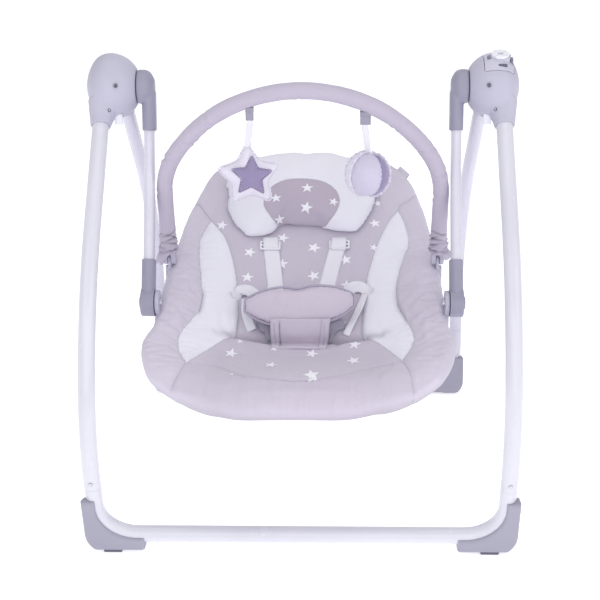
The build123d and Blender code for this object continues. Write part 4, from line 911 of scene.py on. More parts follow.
# folds: (v, u) points, depth, width, ridge
FOLDS = [
    ([(3.75, .42), (3.85, .50), (3.98, .55)], 1.6, 2.6, 1.2),
    ([(4.9, -.86), (5.1, -.80), (5.3, -.75)], 1.4, 4.0, 1.0),
    ([(5.6, -.9), (5.9, -.84), (6.1, -.79)], 1.8, 5.0, 1.4),
    ([(6.6, -.95), (6.8, -.9), (7.0, -.84)], 1.6, 5.0, 1.2),
    ([(5.2, .92), (5.4, .82), (5.6, .75)], 1.8, 4.5, 1.2),
    ([(6.0, .97), (6.2, .88), (6.5, .8)], 1.8, 5.0, 1.4),
    ([(7.0, .95), (7.1, .88), (7.3, .8)], 1.2, 4.0, 1.0),
    ([(6.3, -.35), (6.7, -.25), (7.1, -.2)], 1.6, 4.0, 1.2),
    ([(6.3, .33), (6.7, .26), (7.1, .22)], 1.6, 4.0, 1.2),
    ([(6.4, -.12), (6.8, -.10), (7.2, -.12)], 1.2, 3.5, 1.0),
    ([(6.1, -.62), (6.6, -.60), (7.2, -.66)], 2.0, 6.0, 1.6),
    ([(5.5, -.60), (5.9, -.58), (6.3, -.53)], 1.2, 4.0, 1.0),
    ([(6.0, .58), (6.5, .56), (7.1, .60)], 2.0, 6.0, 1.6),
    ([(9.3, -.70), (9.9, -.62), (10.5, -.60)], 1.2, 5.0, 1.2),
    ([(9.2, .62), (9.8, .56), (10.5, .56)], 1.2, 5.0, 1.2),
    ([(10.9, -.45), (11.0, 0.0), (10.9, .45)], 0.8, 5.0, 0.8),
    ([(11.35, -.8), (11.5, 0.0), (11.35, .8)], 0.9, 3.0, 0.8),
    ([(3.6, -.20), (3.9, -.19), (4.4, -.16)], 0.7, 5.0, 0.6),
    ([(3.6, .22), (4.1, .20), (4.7, .16)], 0.8, 5.0, 0.8),
]
SEAT = make_seat()
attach(SEAT, "seat")
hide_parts("seat_cover")
bpy.context.view_layer.update()


def bvh_of(o):
    dg = bpy.context.evaluated_depsgraph_get()
    return BVHTree.FromObject(o, dg)


SEAT_TREE = bvh_of(SEAT)


def on_seat(v, u, off=0.0, tree=None):
    """mm point on the finished seat cloth over seat coordinates, and its normal."""
    p = raw(np.array([v]), np.array([u]))[0]
    n = normal_at(np.array([v]), np.array([u]))[0]
    a = MV(p + n * 45)
    hit = (tree or SEAT_TREE).ray_cast(a, Vector(-n), 0.12)
    if hit[0] is None:
        return p + n * (off + 3), n
    q = np.array(hit[0]) * 1000 - np.array([0, SH, 0])
    return q + n * off, n


def on_seat_xy(x, y, off=0.0, tree=None):
    v, u = vu_of(x, y)
    return on_seat(float(v), float(u), off, tree)


def px_hit(x, y, tree, off=0.0):
    """mm point where a picture position meets a surface, lifted off it, and the surface normal."""
    o, d = px_ray(x, y)
    h = tree.ray_cast(o, d, 6.0)
    if h[0] is None:
        return None, None
    n = np.array(h[1])
    if n.dot(np.array(d)) > 0:
        n = -n
    return np.array(h[0]) * 1000 - np.array([0, SH, 0]) + n * off, n


def poly_dist(poly, Q):
    """Signed distance to a closed outline, positive inside."""
    poly = np.asarray(poly, float)
    best = np.full(len(Q), 1e9)
    ins = np.zeros(len(Q), bool)
    for i in range(len(poly)):
        a, b = poly[i], poly[(i + 1) % len(poly)]
        ab = b - a
        t = np.clip(((Q - a) @ ab) / max(1e-9, ab @ ab), 0, 1)
        best = np.minimum(best, np.linalg.norm(Q - a - t[:, None] * ab, axis=1))
        c = (a[1] > Q[:, 1]) != (b[1] > Q[:, 1])
        with np.errstate(divide="ignore", invalid="ignore"):
            ins ^= c & (Q[:, 0] < ab[0] * (Q[:, 1] - a[1]) / (ab[1] if ab[1] else 1e-9) + a[0])
    return np.where(ins, best, -best)


# ------------------------------------------------------------------ cloth pass for stuffed pieces
def co_of(o):
    a = np.empty(len(o.data.vertices) * 3)
    o.data.vertices.foreach_get("co", a)
    return a.reshape(-1, 3)


def set_co(o, P):
    o.data.vertices.foreach_set("co", np.asarray(P, float).ravel())
    o.data.update()


def remesh(o, voxel):
    m = o.modifiers.new("remesh", "REMESH")
    m.mode = "VOXEL"
    m.voxel_size = voxel
    apply_mods(o)
    s = o.modifiers.new("smooth", "SMOOTH")
    s.iterations = 3
    s.factor = 0.5
    apply_mods(o)


def puff(o, pressure=4.0, cap=6.0, frames=20, pin=None, shrink=0.0, stiff=12.0):
    """Short pressure run on the remeshed piece; how far a point may move is capped, and pin(co) holds points back."""
    rest = co_of(o)
    sc = bpy.context.scene
    if pin is not None:
        w = pin(rest)
        g = o.vertex_groups.new(name="hold")
        for i in np.nonzero(w > 0.01)[0]:
            g.add([int(i)], float(min(1, w[i])), "REPLACE")
    c = o.modifiers.new("cloth", "CLOTH")
    st = c.settings
    st.quality = 5
    st.mass = 0.2
    st.tension_stiffness = st.compression_stiffness = stiff
    st.shear_stiffness = stiff * 0.5
    st.bending_stiffness = 0.4
    st.use_pressure = True
    st.uniform_pressure_force = pressure
    st.effector_weights.gravity = 0.0
    st.shrink_min = shrink
    c.collision_settings.use_collision = False
    if pin is not None:
        st.vertex_group_mass = "hold"
    c.point_cache.frame_start, c.point_cache.frame_end = 1, frames
    for f in range(1, frames + 1):
        sc.frame_set(f)
    dg = bpy.context.evaluated_depsgraph_get()
    ev = o.evaluated_get(dg)
    P = np.empty(len(ev.data.vertices) * 3)
    ev.data.vertices.foreach_get("co", P)
    P = P.reshape(-1, 3)
    o.modifiers.clear()
    o.vertex_groups.clear()
    sc.frame_set(1)
    d = P - rest
    ln = np.linalg.norm(d, axis=1)
    k = np.minimum(1.0, (cap * 0.001) / np.maximum(ln, 1e-9))
    set_co(o, rest + d * k[:, None])
    subdiv(o, 1)
    return o


def set_attr(o, name, val):
    at = o.data.attributes.get(name) or o.data.attributes.new(name, "FLOAT", "POINT")
    at.data.foreach_set("value", np.asarray(val, np.float32))


def two_cloth(name, a, b, k=1.0, ta=0.04, tb=0.02):
    """Two cloths joined along a seam: the wing attribute is the distance to it, in mm."""
    n = Nodes(name)
    at = n.new("ShaderNodeAttribute", attribute_name="wing")
    mask = n.math("ADD", n.math("MULTIPLY", at.outputs["Fac"], 1.4), 0.5, clamp=True)
    pitch = 0.0011
    kk = 2.0 * pi / pitch / 20.0
    wx, wy, wz = n.wave(kk, "X", distort=0.6), n.wave(kk, "Y", distort=0.6), n.wave(kk, "Z", distort=0.6)
    weave = n.math("MULTIPLY", n.math("ADD", n.math("ADD", wx, wy), wz), 0.3333)
    fuzz = n.noise(1500.0, 2.0)
    big = n.noise(9.0, 4.0, 0.6)

    def cloth(c, tone):
        q = n.ramp(big, [(0.30, scaled(c, 1 - tone)), (0.5, c), (0.72, scaled(c, 1 + tone * 0.6))])
        q = n.mix(0.35, q, n.ramp(weave, [(0.25, scaled(c, 1 - tone * 2.2)), (0.7, scaled(c, 1 + tone))]))
        return n.mix(0.4, q, n.ramp(fuzz, [(0.3, scaled(c, 1 - tone)), (0.7, scaled(c, 1 + tone))]))
    c = n.mix(mask, cloth(a, ta), cloth(b, tb))
    line = n.math("SUBTRACT", 1.0, n.math("MULTIPLY", n.math("ABSOLUTE", at.outputs["Fac"]), 0.8), clamp=True)
    n.color(n.mix(n.math("MULTIPLY", line, 0.45), c, scaled(C_GREY, 0.4)))
    n.rough(n.ramp(weave, [(0.2, (0.93,) * 3), (0.8, (0.8,) * 3)]))
    b_ = n.bump(weave, 0.4, 0.00035)
    n.normal(n.bump(fuzz, 0.25, 0.0002, b_))
    n.set(Sheen_Weight=0.25, Sheen_Roughness=0.45, Specular_IOR_Level=0.25)
    return n.m


PILLOW_MAT = two_cloth("pillow_cloth", C_WHITE, srgb("#bcb2c2"), ta=0.012, tb=0.04)
# painted light: the pad and crotch strap cloth is a lighter copy of the grey cloth
PAD_LIT_MAT = mat_fabric("pad_cloth_lit", srgb("#cdc4d3"), tone=0.04)


# ------------------------------------------------------------------ head pillow
def make_pillow():
    low = [(2.45, -.70), (2.83, -.68), (3.21, -.59), (3.47, -.476), (3.47, -.371), (3.37, -.26), (3.20, -.183), (3.22, -.035),
           (3.24, .111), (3.31, .209), (3.36, .33), (3.33, .451), (3.07, .54), (2.70, .616), (2.45, .66)]
    pts = [raw(v, u)[:2] for v, u in np.array(low)]
    pts[-1][0] = 126.0
    for a in (0.22, 0.45, 0.66, 0.82, 0.93):
        h = 138.0 * (1 - a ** 2.6) ** 0.42
        pts.append(np.array([-3 + h * (0.97 if a < 0.5 else 1.0), 153 + 79 * a]))
    for x in (46.0, 8.0, -32.0):
        pts.append(np.array([x, 233.5]))
    for a in (0.93, 0.82, 0.66, 0.45, 0.22):
        h = 138.0 * (1 - a ** 2.6) ** 0.42
        pts.append(np.array([-3 - h, 153 + 79 * a]))
    B = spline_pts([np.r_[p, 0] for p in pts], 6, closed=True)[:, :2]
    B, _ = resample(np.vstack([B, B[:1]]), 4.5)
    B = B[:-1]
    nb = len(B)
    c0 = np.array([-3.0, 150.0])
    fr = np.sin(np.linspace(0, pi / 2, 24))
    top, bot = [], []
    for f in fr:
        q = c0 + (B - c0) * f
        v, u = vu_of(q[:, 0], q[:, 1])
        P, N = raw(v, u), normal_at(v, u)
        ed = (1 - f ** 2.6) ** 0.55
        ho = 7.0 + 25.0 * ed
        lo = 7.0 - 3.6 * (1 - f ** 4) ** 0.5
        top.append(P + N * ho)
        bot.append(P + N * lo)
    verts = np.vstack(top + bot[:-1])
    nr = len(fr)
    faces = grid_faces(nr, nb, wrap=True)
    base = nr * nb
    faces += [tuple(reversed(f)) for f in grid_faces(nr - 1, nb, base, wrap=True)]
    for j in range(nb):
        a, b = base + (nr - 2) * nb + j, base + (nr - 2) * nb + (j + 1) % nb
        faces.append(((nr - 1) * nb + j, (nr - 1) * nb + (j + 1) % nb, b, a))
    o = build("head_pillow_fabric", M(verts), faces, None, PILLOW_MAT, weld=1e-6)
    remesh(o, 0.0045)
    puff(o, 3.5, 5.0)
    return o


OVAL = [(263.8, 204), (266.5, 192.5), (274, 184.5), (286, 179.3), (302, 177.8), (318, 179.6), (330, 184.8), (337.5, 192.5), (339.6, 201.5),
        (336, 211.5), (329.5, 220.5), (324, 227.5), (314, 232), (300, 233), (286, 231.5), (277, 223.5), (269, 213.5)]


def finish_pillow(o):
    P = co_of(o)
    Q = to_px(P)
    sd = poly_dist(spline_pts([np.r_[p, 0] for p in OVAL], 5, closed=True)[:, :2], Q) * 1.75
    o.data.update()
    N = np.array([v.normal[:] for v in o.data.vertices])
    face = N @ -CAM_M[:3, :3] @ np.array([0, 0, -1.0])
    sd = np.where(face > 0.05, sd, -60.0)
    set_attr(o, "wing", sd)
    # the seam pulls in, gathers run off it
    ang = np.arctan2(Q[:, 1] - 203, Q[:, 0] - 301)
    dep = -1.6 * np.exp(-(sd / 2.6) ** 2) + 0.45 * np.sin(ang * 46 + 2.0 * np.sin(ang * 7)) * np.exp(-np.abs(sd) / 8.0)
    dep += 0.9 * noise_np(P * 1000, 0.03, 3.0)
    set_co(o, P + N * (dep * 0.001)[:, None])
    return o


PILLOW = make_pillow()
finish_pillow(PILLOW)
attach(PILLOW, "seat")
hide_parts("head_pillow")
bpy.context.view_layer.update()
PILLOW_TREE = bvh_of(PILLOW)


# ------------------------------------------------------------------ printed stars
def star_xy(r_out, k, rot, n=5):
    return [((r_out if i % 2 == 0 else r_out * k) * cos(pi / 2 + pi / n * i + rot),
             (r_out if i % 2 == 0 else r_out * k) * sin(pi / 2 + pi / n * i + rot)) for i in range(2 * n)]


def star_mesh(c, n, r, rot, tree, k=0.40, lift=0.35, cut=None, sy=1.0):
    """Star cut from thin print, laid on the cloth: rings from the centre to its outline."""
    n = n / np.linalg.norm(n)
    ex = np.array([1.0, 0, 0]) - n * n[0]
    ex /= np.linalg.norm(ex)
    ey = np.cross(n, ex)
    out = []
    pts = star_xy(r, k, rot)
    ring = []
    for i in range(len(pts)):
        a, b = pts[i], pts[(i + 1) % len(pts)]
        for t in (0, 1 / 3, 2 / 3):
            ring.append((a[0] + (b[0] - a[0]) * t, a[1] + (b[1] - a[1]) * t))
    verts, m = [], len(ring)
    for f in (0.0, 0.34, 0.67, 1.0):
        for x, y in (ring if f else ring[:1]):
            p = c + ex * x * f + ey * y * f * sy
            h = tree.ray_cast(MV(p + n * 16), Vector(-n), 0.04)
            if h[0] is None:
                return None
            verts.append(np.array(h[0]) + n * lift * 0.001)
    faces = [(0, 1 + j, 1 + (j + 1) % m) for j in range(m)]
    for q in range(2):
        for j in range(m):
            a, b = 1 + q * m + j, 1 + q * m + (j + 1) % m
            faces.append((a, a + m, b + m, b))
    if cut is not None:
        ok = cut(np.array(verts))
        faces = [f for f in faces if all(ok[i] for i in f)]
    return verts, faces


def add_stars(name, items, tree, body="seat", cut=None):
    V, F = [], []
    for it in items:
        c, n, r, rot = it[:4]
        s = star_mesh(c, n, r, rot, tree, cut=cut, sy=it[4] if len(it) > 4 else 1.0)
        if s is None:
            continue
        b = len(V)
        V += s[0]
        F += [tuple(i + b for i in f) for f in s[1]]
    return build(name, V, F, body, PRINT, smooth=True)


rng = random.Random(4)
items = []
for x, y, r, k in [(222, 225.4, 10.5, 1), (249.8, 252.3, 11, 1), (247.5, 277.4, 11, 1), (282.9, 237.9, 11, 1), (314, 247.7, 12, 1), (282, 264.2, 11.5, 1),
                   (313.7, 276, 11.5, 1), (345.7, 260, 11, 1), (374.8, 223.4, 10.5, 1), (373.6, 247.6, 7.5, 1), (346.7, 285.3, 11, 1),
                   (231, 353.5, 11, 1.7), (271, 365, 11.5, 1.8), (311.7, 354, 11, 1.6), (354.6, 344.6, 11, 1.5), (353.6, 361, 11.5, 1.9),
                   (311.7, 375.3, 13, 2.0), (240, 341.5, 6, 1.2), (194, 363.5, 5, 1.3), (232, 374.3, 4, 1.5), (274, 348.8, 7, 1.3),
                   (377.5, 203.5, 8, 1)]:
    c, n = px_hit(x, y, SEAT_TREE)
    if c is None:
        continue
    items.append((c, n, r, rad(rng.uniform(-24, 24)), k))
for v, u, r in [(5.15, -.26, 11), (5.2, .10, 11), (5.65, .28, 11), (5.75, -.10, 11), (6.9, .02, 10.5)]:
    c, n = on_seat(v, u)
    items.append((c, n, r, rad(rng.uniform(-24, 24)), 1))
STARS = add_stars("seat_star_print", items, SEAT_TREE)
items = []
for x, y, r in [(276, 198.3, 10), (307.2, 188, 11), (306.2, 207.6, 11.5), (279.5, 219.7, 10), (333.5, 201.9, 9)]:
    c, n = px_hit(x, y, PILLOW_TREE)
    if c is not None:
        items.append((c, n, r, rad(rng.uniform(-22, 22))))
PSTARS = add_stars("pillow_star_print", items, PILLOW_TREE)


# ------------------------------------------------------------------ harness
def frame_strip(pts):
    """Spline points for straps that run front to back."""
    P = np.array([p for p in pts])
    return spline_pts(P, 10)


def shoulder(name, sx, x0, x1):
    pts = []
    for k in range(8):
        t = k / 7
        p, n = on_seat_xy(sx * (x0 + (x1 - x0) * t), 66.0 - 84.0 * t, 1.5)
        pts.append(p)
    pts.append(np.array([sx * (x1 - 0.5), -44.0, 327.0]))
    pts.append(np.array([sx * (x1 - 1), -64.0, 334.0]))
    pts.append(np.array([sx * (x1 - 1.5), -82.0, 341.0]))
    return ribbon(name, spline_pts(pts, 8), (1, 0, 0), "seat", WEB, 26.0, 1.9, wave=0.25)


SL = shoulder("shoulder_strap_left", -1, 56.5, 45.5)
SR = shoulder("shoulder_strap_right", 1, 59.5, 38.5)
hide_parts("shoulder_straps")
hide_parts("shoulder_straps")


def adjuster(name, x, y):
    """Webbing slider: rounded frame with a centre bar, the strap looped over it."""
    p, n = on_seat_xy(x, y, 4.4)
    ex = np.array([1.0, 0, 0]) - n * n[0]
    ex /= np.linalg.norm(ex)
    ey = np.cross(n, ex)
    V, F = [], []

    def bar(a, b, w, t, lift=0.0):
        a, b = np.array(a, float), np.array(b, float)
        d = (b - a) / np.linalg.norm(b - a)
        s = np.array([-d[1], d[0]])
        base = len(V)
        for e in (a, b):
            for q, z in ((-1, -1), (1, -1), (1, 1), (-1, 1)):
                c = e + s * q * w / 2
                V.append(M(p + ex * c[0] + ey * c[1] + n * (z * t / 2 + lift)))
        F.extend([tuple(base + i for i in f) for f in ((0, 1, 2, 3), (7, 6, 5, 4), (0, 4, 5, 1), (1, 5, 6, 2), (2, 6, 7, 3), (3, 7, 4, 0))])
    W, H = 15.6, 7.0
    bar((-W, -H), (W, -H), 2.6, 3.4)
    bar((-W, H), (W, H), 2.6, 3.4)
    bar((-W, -H - 1.2), (-W, H + 1.2), 2.8, 3.4)
    bar((W, -H - 1.2), (W, H + 1.2), 2.8, 3.4)
    bar((-W, 0), (W, 0), 2.8, 3.0, 0.6)
    o = build(name, V, F, "seat", WHITE)
    remesh(o, 0.0005)
    o.data.materials.clear()
    o.data.materials.append(WHITE)
    return o


AL = adjuster("strap_adjuster_left", -56.0, 51.0)
AR = adjuster("strap_adjuster_right", 58.6, 53.0)
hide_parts("strap_adjusters")
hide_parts("strap_adjusters")
for sx, x in ((-1, -55.8), (1, 58.2)):
    pts = []
    for y, off in ((68, 1.6), (63.5, 4.4), (59, 7.4), (54, 8.2), (49.5, 7.6), (45.5, 5.4), (43.5, 2.6)):
        p, n = on_seat_xy(x - sx * (66 - y) * 0.06, y, off)
        pts.append(p)
    ribbon("strap_loop_" + ("left" if sx < 0 else "right"), spline_pts(pts, 6), (1, 0, 0), "seat", WEB, 25.0, 1.5)

PAD_TOP, PAD_BOT = (-82.0, 353.0), (-116.0, 308.0)


def pad_pt(a, u):
    """Belly pad mid surface: a from the top edge to the bottom edge, u across."""
    dy, dz = PAD_BOT[0] - PAD_TOP[0], PAD_BOT[1] - PAD_TOP[1]
    span = 1.0 - 0.70 * abs(u) ** 2.9
    s = 0.573 + (a - 0.5) * span * 1.147 + (0.08 * math.exp(-((u + 0.04) / 0.17) ** 2) if a < 0.5 else 0) * (1 - 2 * a)
    s = s + 0.05 * abs(u) ** 2 - 0.08 * u
    return np.array([86.0 * u - 4.5, PAD_TOP[0] + dy * s + 14.0 * abs(u) ** 2, PAD_TOP[1] + dz * s + 2.0 * abs(u) ** 2])


def make_belly():
    dy, dz = PAD_BOT[0] - PAD_TOP[0], PAD_BOT[1] - PAD_TOP[1]
    L = math.hypot(dy, dz)
    n = np.array([0, dz / L, -dy / L])
    if n[1] > 0:
        n = -n
    na, nu = 21, 49
    us = np.sin(np.linspace(-pi / 2, pi / 2, nu))
    av = (1 - np.cos(np.linspace(0, pi, na))) / 2
    top, bot = [], []
    for a in av:
        for u in us:
            c = pad_pt(a, u)
            e = (max(0.0, 1 - (2 * a - 1) ** 2) * max(0.0, 1 - u ** 4)) ** 0.5
            top.append(c + n * (7.6 * e))
            bot.append(c - n * (6.0 * e))
    verts = top + bot
    faces = grid_faces(na, nu) + [tuple(reversed(f)) for f in grid_faces(na, nu, na * nu)]
    for i in range(na - 1):
        for j in (0, nu - 1):
            a, b = i * nu + j, (i + 1) * nu + j
            faces.append((a, b, b + na * nu, a + na * nu))
    for j in range(nu - 1):
        for i in (0, na - 1):
            a, b = i * nu + j, i * nu + j + 1
            faces.append((a, b, b + na * nu, a + na * nu))
    o = build("waist_pad_fabric", M(verts), faces, None, PAD_LIT_MAT, weld=1e-5)
    remesh(o, 0.0032)
    puff(o, 3.0, 5.0)
    P = co_of(o)
    o.data.update()
    N = np.array([v.normal[:] for v in o.data.vertices])
    q = P * 1000
    w = 0.7 * noise_np(q * np.array([1.0, 0.5, 0.5]), 0.07, 3.0) + 0.5 * noise_np(q, 0.12, 8.0)
    set_co(o, P + N * (w * 0.001)[:, None])
    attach(o, "seat")
    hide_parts("waist_pad")
    # sewn edge binding round the pad
    B = [pad_pt(0, u) for u in np.linspace(-1, 1, 33)] + [pad_pt(a, 1) for a in np.linspace(0.1, 0.9, 7)]
    B += [pad_pt(1, u) for u in np.linspace(1, -1, 33)] + [pad_pt(a, -1) for a in np.linspace(0.9, 0.1, 7)]
    B = np.array(B)
    B = np.vstack([B, B[:1]])
    tube("waist_pad_binding", B, 2.0, "seat", BINDING, n=10, step=2.0,
         rf=lambda s, a, i: 1.0 + 0.10 * sin(s * 1.7) + 0.05 * cos(a * 3 + s * 0.4), caps=False)
    return o


BELLY = make_belly()


def make_crotch():
    """Broad strap from the seat up behind the belly pad's lower edge, with folded and stitched side bands."""
    n0 = np.array([0, -0.75, 0.66])
    base, bn = px_hit(299.0, 343.5, SEAT_TREE, 3.0)
    tip = np.array([0.0, PAD_BOT[0] - 9.5, PAD_BOT[1] + 7.0])
    run, rn = px_hit(299.0, 349.3, SEAT_TREE, 2.4)
    base, run = base * np.array([0, 1, 1]), run * np.array([0, 1, 1])
    mid = base + (tip - base) * 0.5 + np.array([0, -5.0, 0])
    path = spline_pts([tip, mid, base + np.array([0, -2, 1.0]), run], 12)
    path, s = resample(path, 2.0)
    L = s[-1]
    T = np.gradient(path, axis=0)
    T /= np.linalg.norm(T, axis=1)[:, None]
    verts, uvs = [], []
    nu = 61
    for i in range(len(path)):
        f = s[i] / L
        half = 46.7 - 3.6 * f
        ex = np.array([1.0, 0, 0])
        n = np.cross(ex, T[i])
        n /= np.linalg.norm(n)
        if n[1] > 0 and n[2] < 0:
            n = -n
        if n @ n0 < 0:
            n = -n
        row = []
        for side in (1, -1):
            for k in range(nu):
                u = (-1 + 2 * k / (nu - 1)) * side
                e = max(0.0, 1 - abs(u) ** 12) ** 0.5
                band = 1.6 * (abs(u) > 0.70) * (1 - 0.2 * (abs(u) > 0.97))
                crown = 2.3 * (1 - (abs(u) / 0.7) ** 2) * (abs(u) < 0.7) * sin(pi * min(1, f * 1.15)) if side > 0 else 0
                wr = 0.6 * noise.noise(Vector((u * 3.1, f * 4.0, 2.0))) * (abs(u) < 0.7)
                groove = -0.9 * math.exp(-((abs(u) - 0.70) / 0.02) ** 2) * (side > 0)
                off = side * (2.2 * e + band) + crown + wr + groove
                row.append(path[i] + ex * (u * half - 2.6 - 2.6 * f) + n * off)
                uvs.append((u * half * 0.001, s[i] * 0.001))
        verts += [M(p) for p in row]
    nc = 2 * nu
    faces = grid_faces(len(path), nc, wrap=True)
    faces.append(tuple(range(nc)))
    faces.append(tuple((len(path) - 1) * nc + k for k in reversed(range(nc))))
    o = build("crotch_strap_fabric", verts, faces, "seat", PAD_LIT_MAT, uvs=uvs, weld=1e-5)
    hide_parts("crotch_strap")
    # lock stitching down each side band
    V, F = [], []
    for sx in (-1, 1):
        for q in (0.755, 0.93):
            for i in range(3, len(path) - 3):
                f = s[i] / L
                half = 46.7 - 3.6 * f
                n = np.cross(np.array([1.0, 0, 0]), T[i])
                n /= np.linalg.norm(n)
                if n @ n0 < 0:
                    n = -n
                zig = 0.7 * (1 if i % 2 else -1)
                a = path[i] + np.array([sx * (q * half) + zig, 0, 0]) + n * 3.6
                b = path[i] + T[i] * 1.7 + np.array([sx * (q * half) - zig, 0, 0]) + n * 3.6
                bs = len(V)
                w = np.cross(n, b - a)
                w /= np.linalg.norm(w)
                for pt, lift in ((a, -0.2), ((a + b) / 2, 0.35), (b, -0.2)):
                    V.append(M(pt + w * 0.38 + n * lift))
                    V.append(M(pt - w * 0.38 + n * lift))
                F += [(bs, bs + 2, bs + 3, bs + 1), (bs + 2, bs + 4, bs + 5, bs + 3)]
    build("crotch_strap_stitching", V, F, "seat", STITCH)
    return o


STITCH = mat_fabric("stitching", srgb("#8f889b"), pitch=0.0006, tone=0.05, bump=0.8)
CROTCH = make_crotch()


def belt(name, sx, px_pts, side_w, width=24.0):
    """Waist webbing points: picture positions lifted off the seat."""
    pts = []
    for x, y, off in px_pts:
        c, n = px_hit(x, y, SEAT_TREE, off)
        pts.append(c)
    return pts


def make_belts():
    # a bright tab at each side: out of the seat, folded over, then in behind the pad
    la = [px_hit(x, y, SEAT_TREE, o)[0] for x, y, o in ((232.5, 297.5, 1.2), (235.5, 295.5, 3), (240, 293.2, 5.5), (246, 292.2, 6.5), (252, 294.5, 6), (258, 299, 3))]
    a = ribbon("waist_belt_left", spline_pts(la, 8), np.array([0.30, 0.62, 0.62]), "seat", WEB, 19.5, 1.9, wave=0.7)
    ra = [px_hit(x, y, SEAT_TREE, o)[0] for x, y, o in ((371.0, 293.5, 1.2), (368, 291.8, 3), (362, 289.6, 5.5), (356, 289.2, 6.5), (350, 291.5, 6), (344, 297, 3))]
    b = ribbon("waist_belt_right", spline_pts(ra, 8), np.array([-0.30, 0.62, 0.62]), "seat", WEB, 19.5, 1.9, wave=0.7)
    for o in (a, b):
        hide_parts("waist_belts")
    # spare ends that hang down to the seat behind the pad
    lb = [px_hit(x, y, SEAT_TREE, o)[0] for x, y, o in ((247, 303, 10), (246.5, 313, 7), (248, 322, 4), (252, 331, 1.6))]
    ribbon("waist_tail_left", spline_pts(lb, 8), np.array([1.0, 0, 0.1]), "seat", WEB, 15.0, 1.6, wave=0.6)
    rb = [px_hit(x, y, SEAT_TREE, o)[0] for x, y, o in ((365, 296, 6), (360.5, 306, 8), (355, 318, 6), (349.5, 329, 3), (346, 335.5, 1.2))]
    ribbon("waist_tail_right", spline_pts(rb, 8), np.array([0.9, 0.1, 0.25]), "seat", WEB, 11.0, 1.6, wave=0.6)
    # lower grey loops from the crotch strap's sides
    for nm, P0 in (("crotch_loop_left", ((258, 324, 6), (262, 330, 9), (268, 333, 9), (272, 340, 3))),
                   ("crotch_loop_right", ((344, 326, 5), (337, 330, 9), (331, 334, 9), (327, 342, 3)))):
        q = [px_hit(x, y, SEAT_TREE, o)[0] for x, y, o in P0]
        ribbon(nm, spline_pts(q, 8), np.array([0.1, 0.5, 0.86]), "seat", WEB_G, 16.0, 2.0, wave=0.4)


make_belts()


# ------------------------------------------------------------------ woven tag at the seat's rim, bare
def make_tag():
    base = []
    for v, u in ((0.98, 1.0), (1.64, 1.0)):
        p = raw(np.array([v]), np.array([u]))[0]
        base.append(p + np.array([-1.0, 0, -4.0]))
    a, b = base
    along = b - a
    w = 25.0
    along = along / np.linalg.norm(along)
    out = np.array([0.72, 0.10, 0.66])
    out -= along * out.dot(along)
    out /= np.linalg.norm(out)
    n = np.cross(along, out)
    rows_, nl = [], 15
    P = []
    for i in range(nl):
        t = i / (nl - 1)
        s = 2 * t if t <= 0.5 else 2 * (1 - t)
        z = 1.2 * (1 if t < 0.5 else -1) * (1 - s ** 6)
        P.append((s * 15.0, z))
    V, UV = [], []
    nw = 9
    for s, z in P:
        for j in range(nw):
            q = -1 + 2 * j / (nw - 1)
            c = a + along * (w / 2 + q * w / 2) + out * (s - 2.0) + n * (z + 0.5 * sin(q * 3 + s * 0.2))
            V.append(M(c))
            UV.append((q * w / 2000, s / 1000))
    F = grid_faces(nl, nw)
    o = build("rim_tag", V, F, None, TAG, uvs=UV)
    m = o.modifiers.new("thick", "SOLIDIFY")
    m.thickness = 0.0006
    m.offset = 0
    apply_mods(o)
    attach(o, "seat")
    return o


make_tag()


# binding along the hem under the seat
def loop_vu(inset, n=240):
    """Closed line in seat coordinates at a distance inside the rim, mm."""
    out = []
    vv = np.linspace(0, VMAX, 2400)
    S = raw(vv, np.zeros_like(vv))
    s = np.r_[0, np.cumsum(np.linalg.norm(np.diff(S, axis=0), axis=1))]
    v0, v1 = np.interp(inset, s, vv), np.interp(s[-1] - inset, s, vv)
    half = rows(np.linspace(v0, v1, n))[:, 2]
    uu = 1 - inset / half
    V = np.linspace(v0, v1, n)
    side = list(zip(V, uu)) + [(v1, q) for q in np.linspace(uu[-1], -uu[-1], 60)[1:-1]]
    side += list(zip(V[::-1], -uu[::-1])) + [(v0, q) for q in np.linspace(-uu[0], uu[0], 40)[1:-1]]
    return np.array(side)


def make_hem():
    L = loop_vu(46.0)
    v, u = L[:, 0], L[:, 1]
    P = raw(v, u) - normal_at(v, u) * (edge_t(v, u) + 1.2)[:, None]
    P = np.vstack([P, P[:1]])
    tube("under_hem_binding", P, 3.4, "seat", BINDING, n=10, step=3.0,
         rf=lambda s, a, i: 1.0 + 0.16 * sin(s * 0.62) + 0.08 * cos(3 * a + s * 0.3), caps=False)


make_hem()


def make_front_tube():
    """Steel tube under the front cushion, from bracket to bracket."""
    right = []
    for v, u, k in ((6.80, .905, 9), (6.95, .90, 9), (7.5, .89, 8), (8.1, .86, 5), (8.8, .80, 1), (9.5, .70, -3), (10.0, .57, -4), (10.35, .40, -4), (10.5, .20, -4)):
        p = raw(np.array([v]), np.array([u]))[0] + front_roll(np.array([v]), np.array([u]))[0]
        right.append(p - normal_at(np.array([v]), np.array([u]))[0] * (float(edge_t(np.array([v]), np.array([u]))[0]) + k - 1.0))
    pts = right + [p * np.array([-1.0, 1, 1]) for p in reversed(right)]
    o = tube("seat_front_rail", spline_pts(pts, 8), 7.0, "seat", STEEL, n=24, step=4.0)
    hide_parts("seat_front_tube")
    return o


make_front_tube()


# ------------------------------------------------------------------ toy bar sleeve
def bar_plane_pt(x, y, off=0.0):
    a = rad(BAR_LEAN)
    yd = np.array([0, -sin(a), cos(a)])
    zd = np.cross([1.0, 0, 0], yd)
    return np.array([0, BAR_Y, BAR_Z]) + np.array([1.0, 0, 0]) * x + yd * y + zd * off


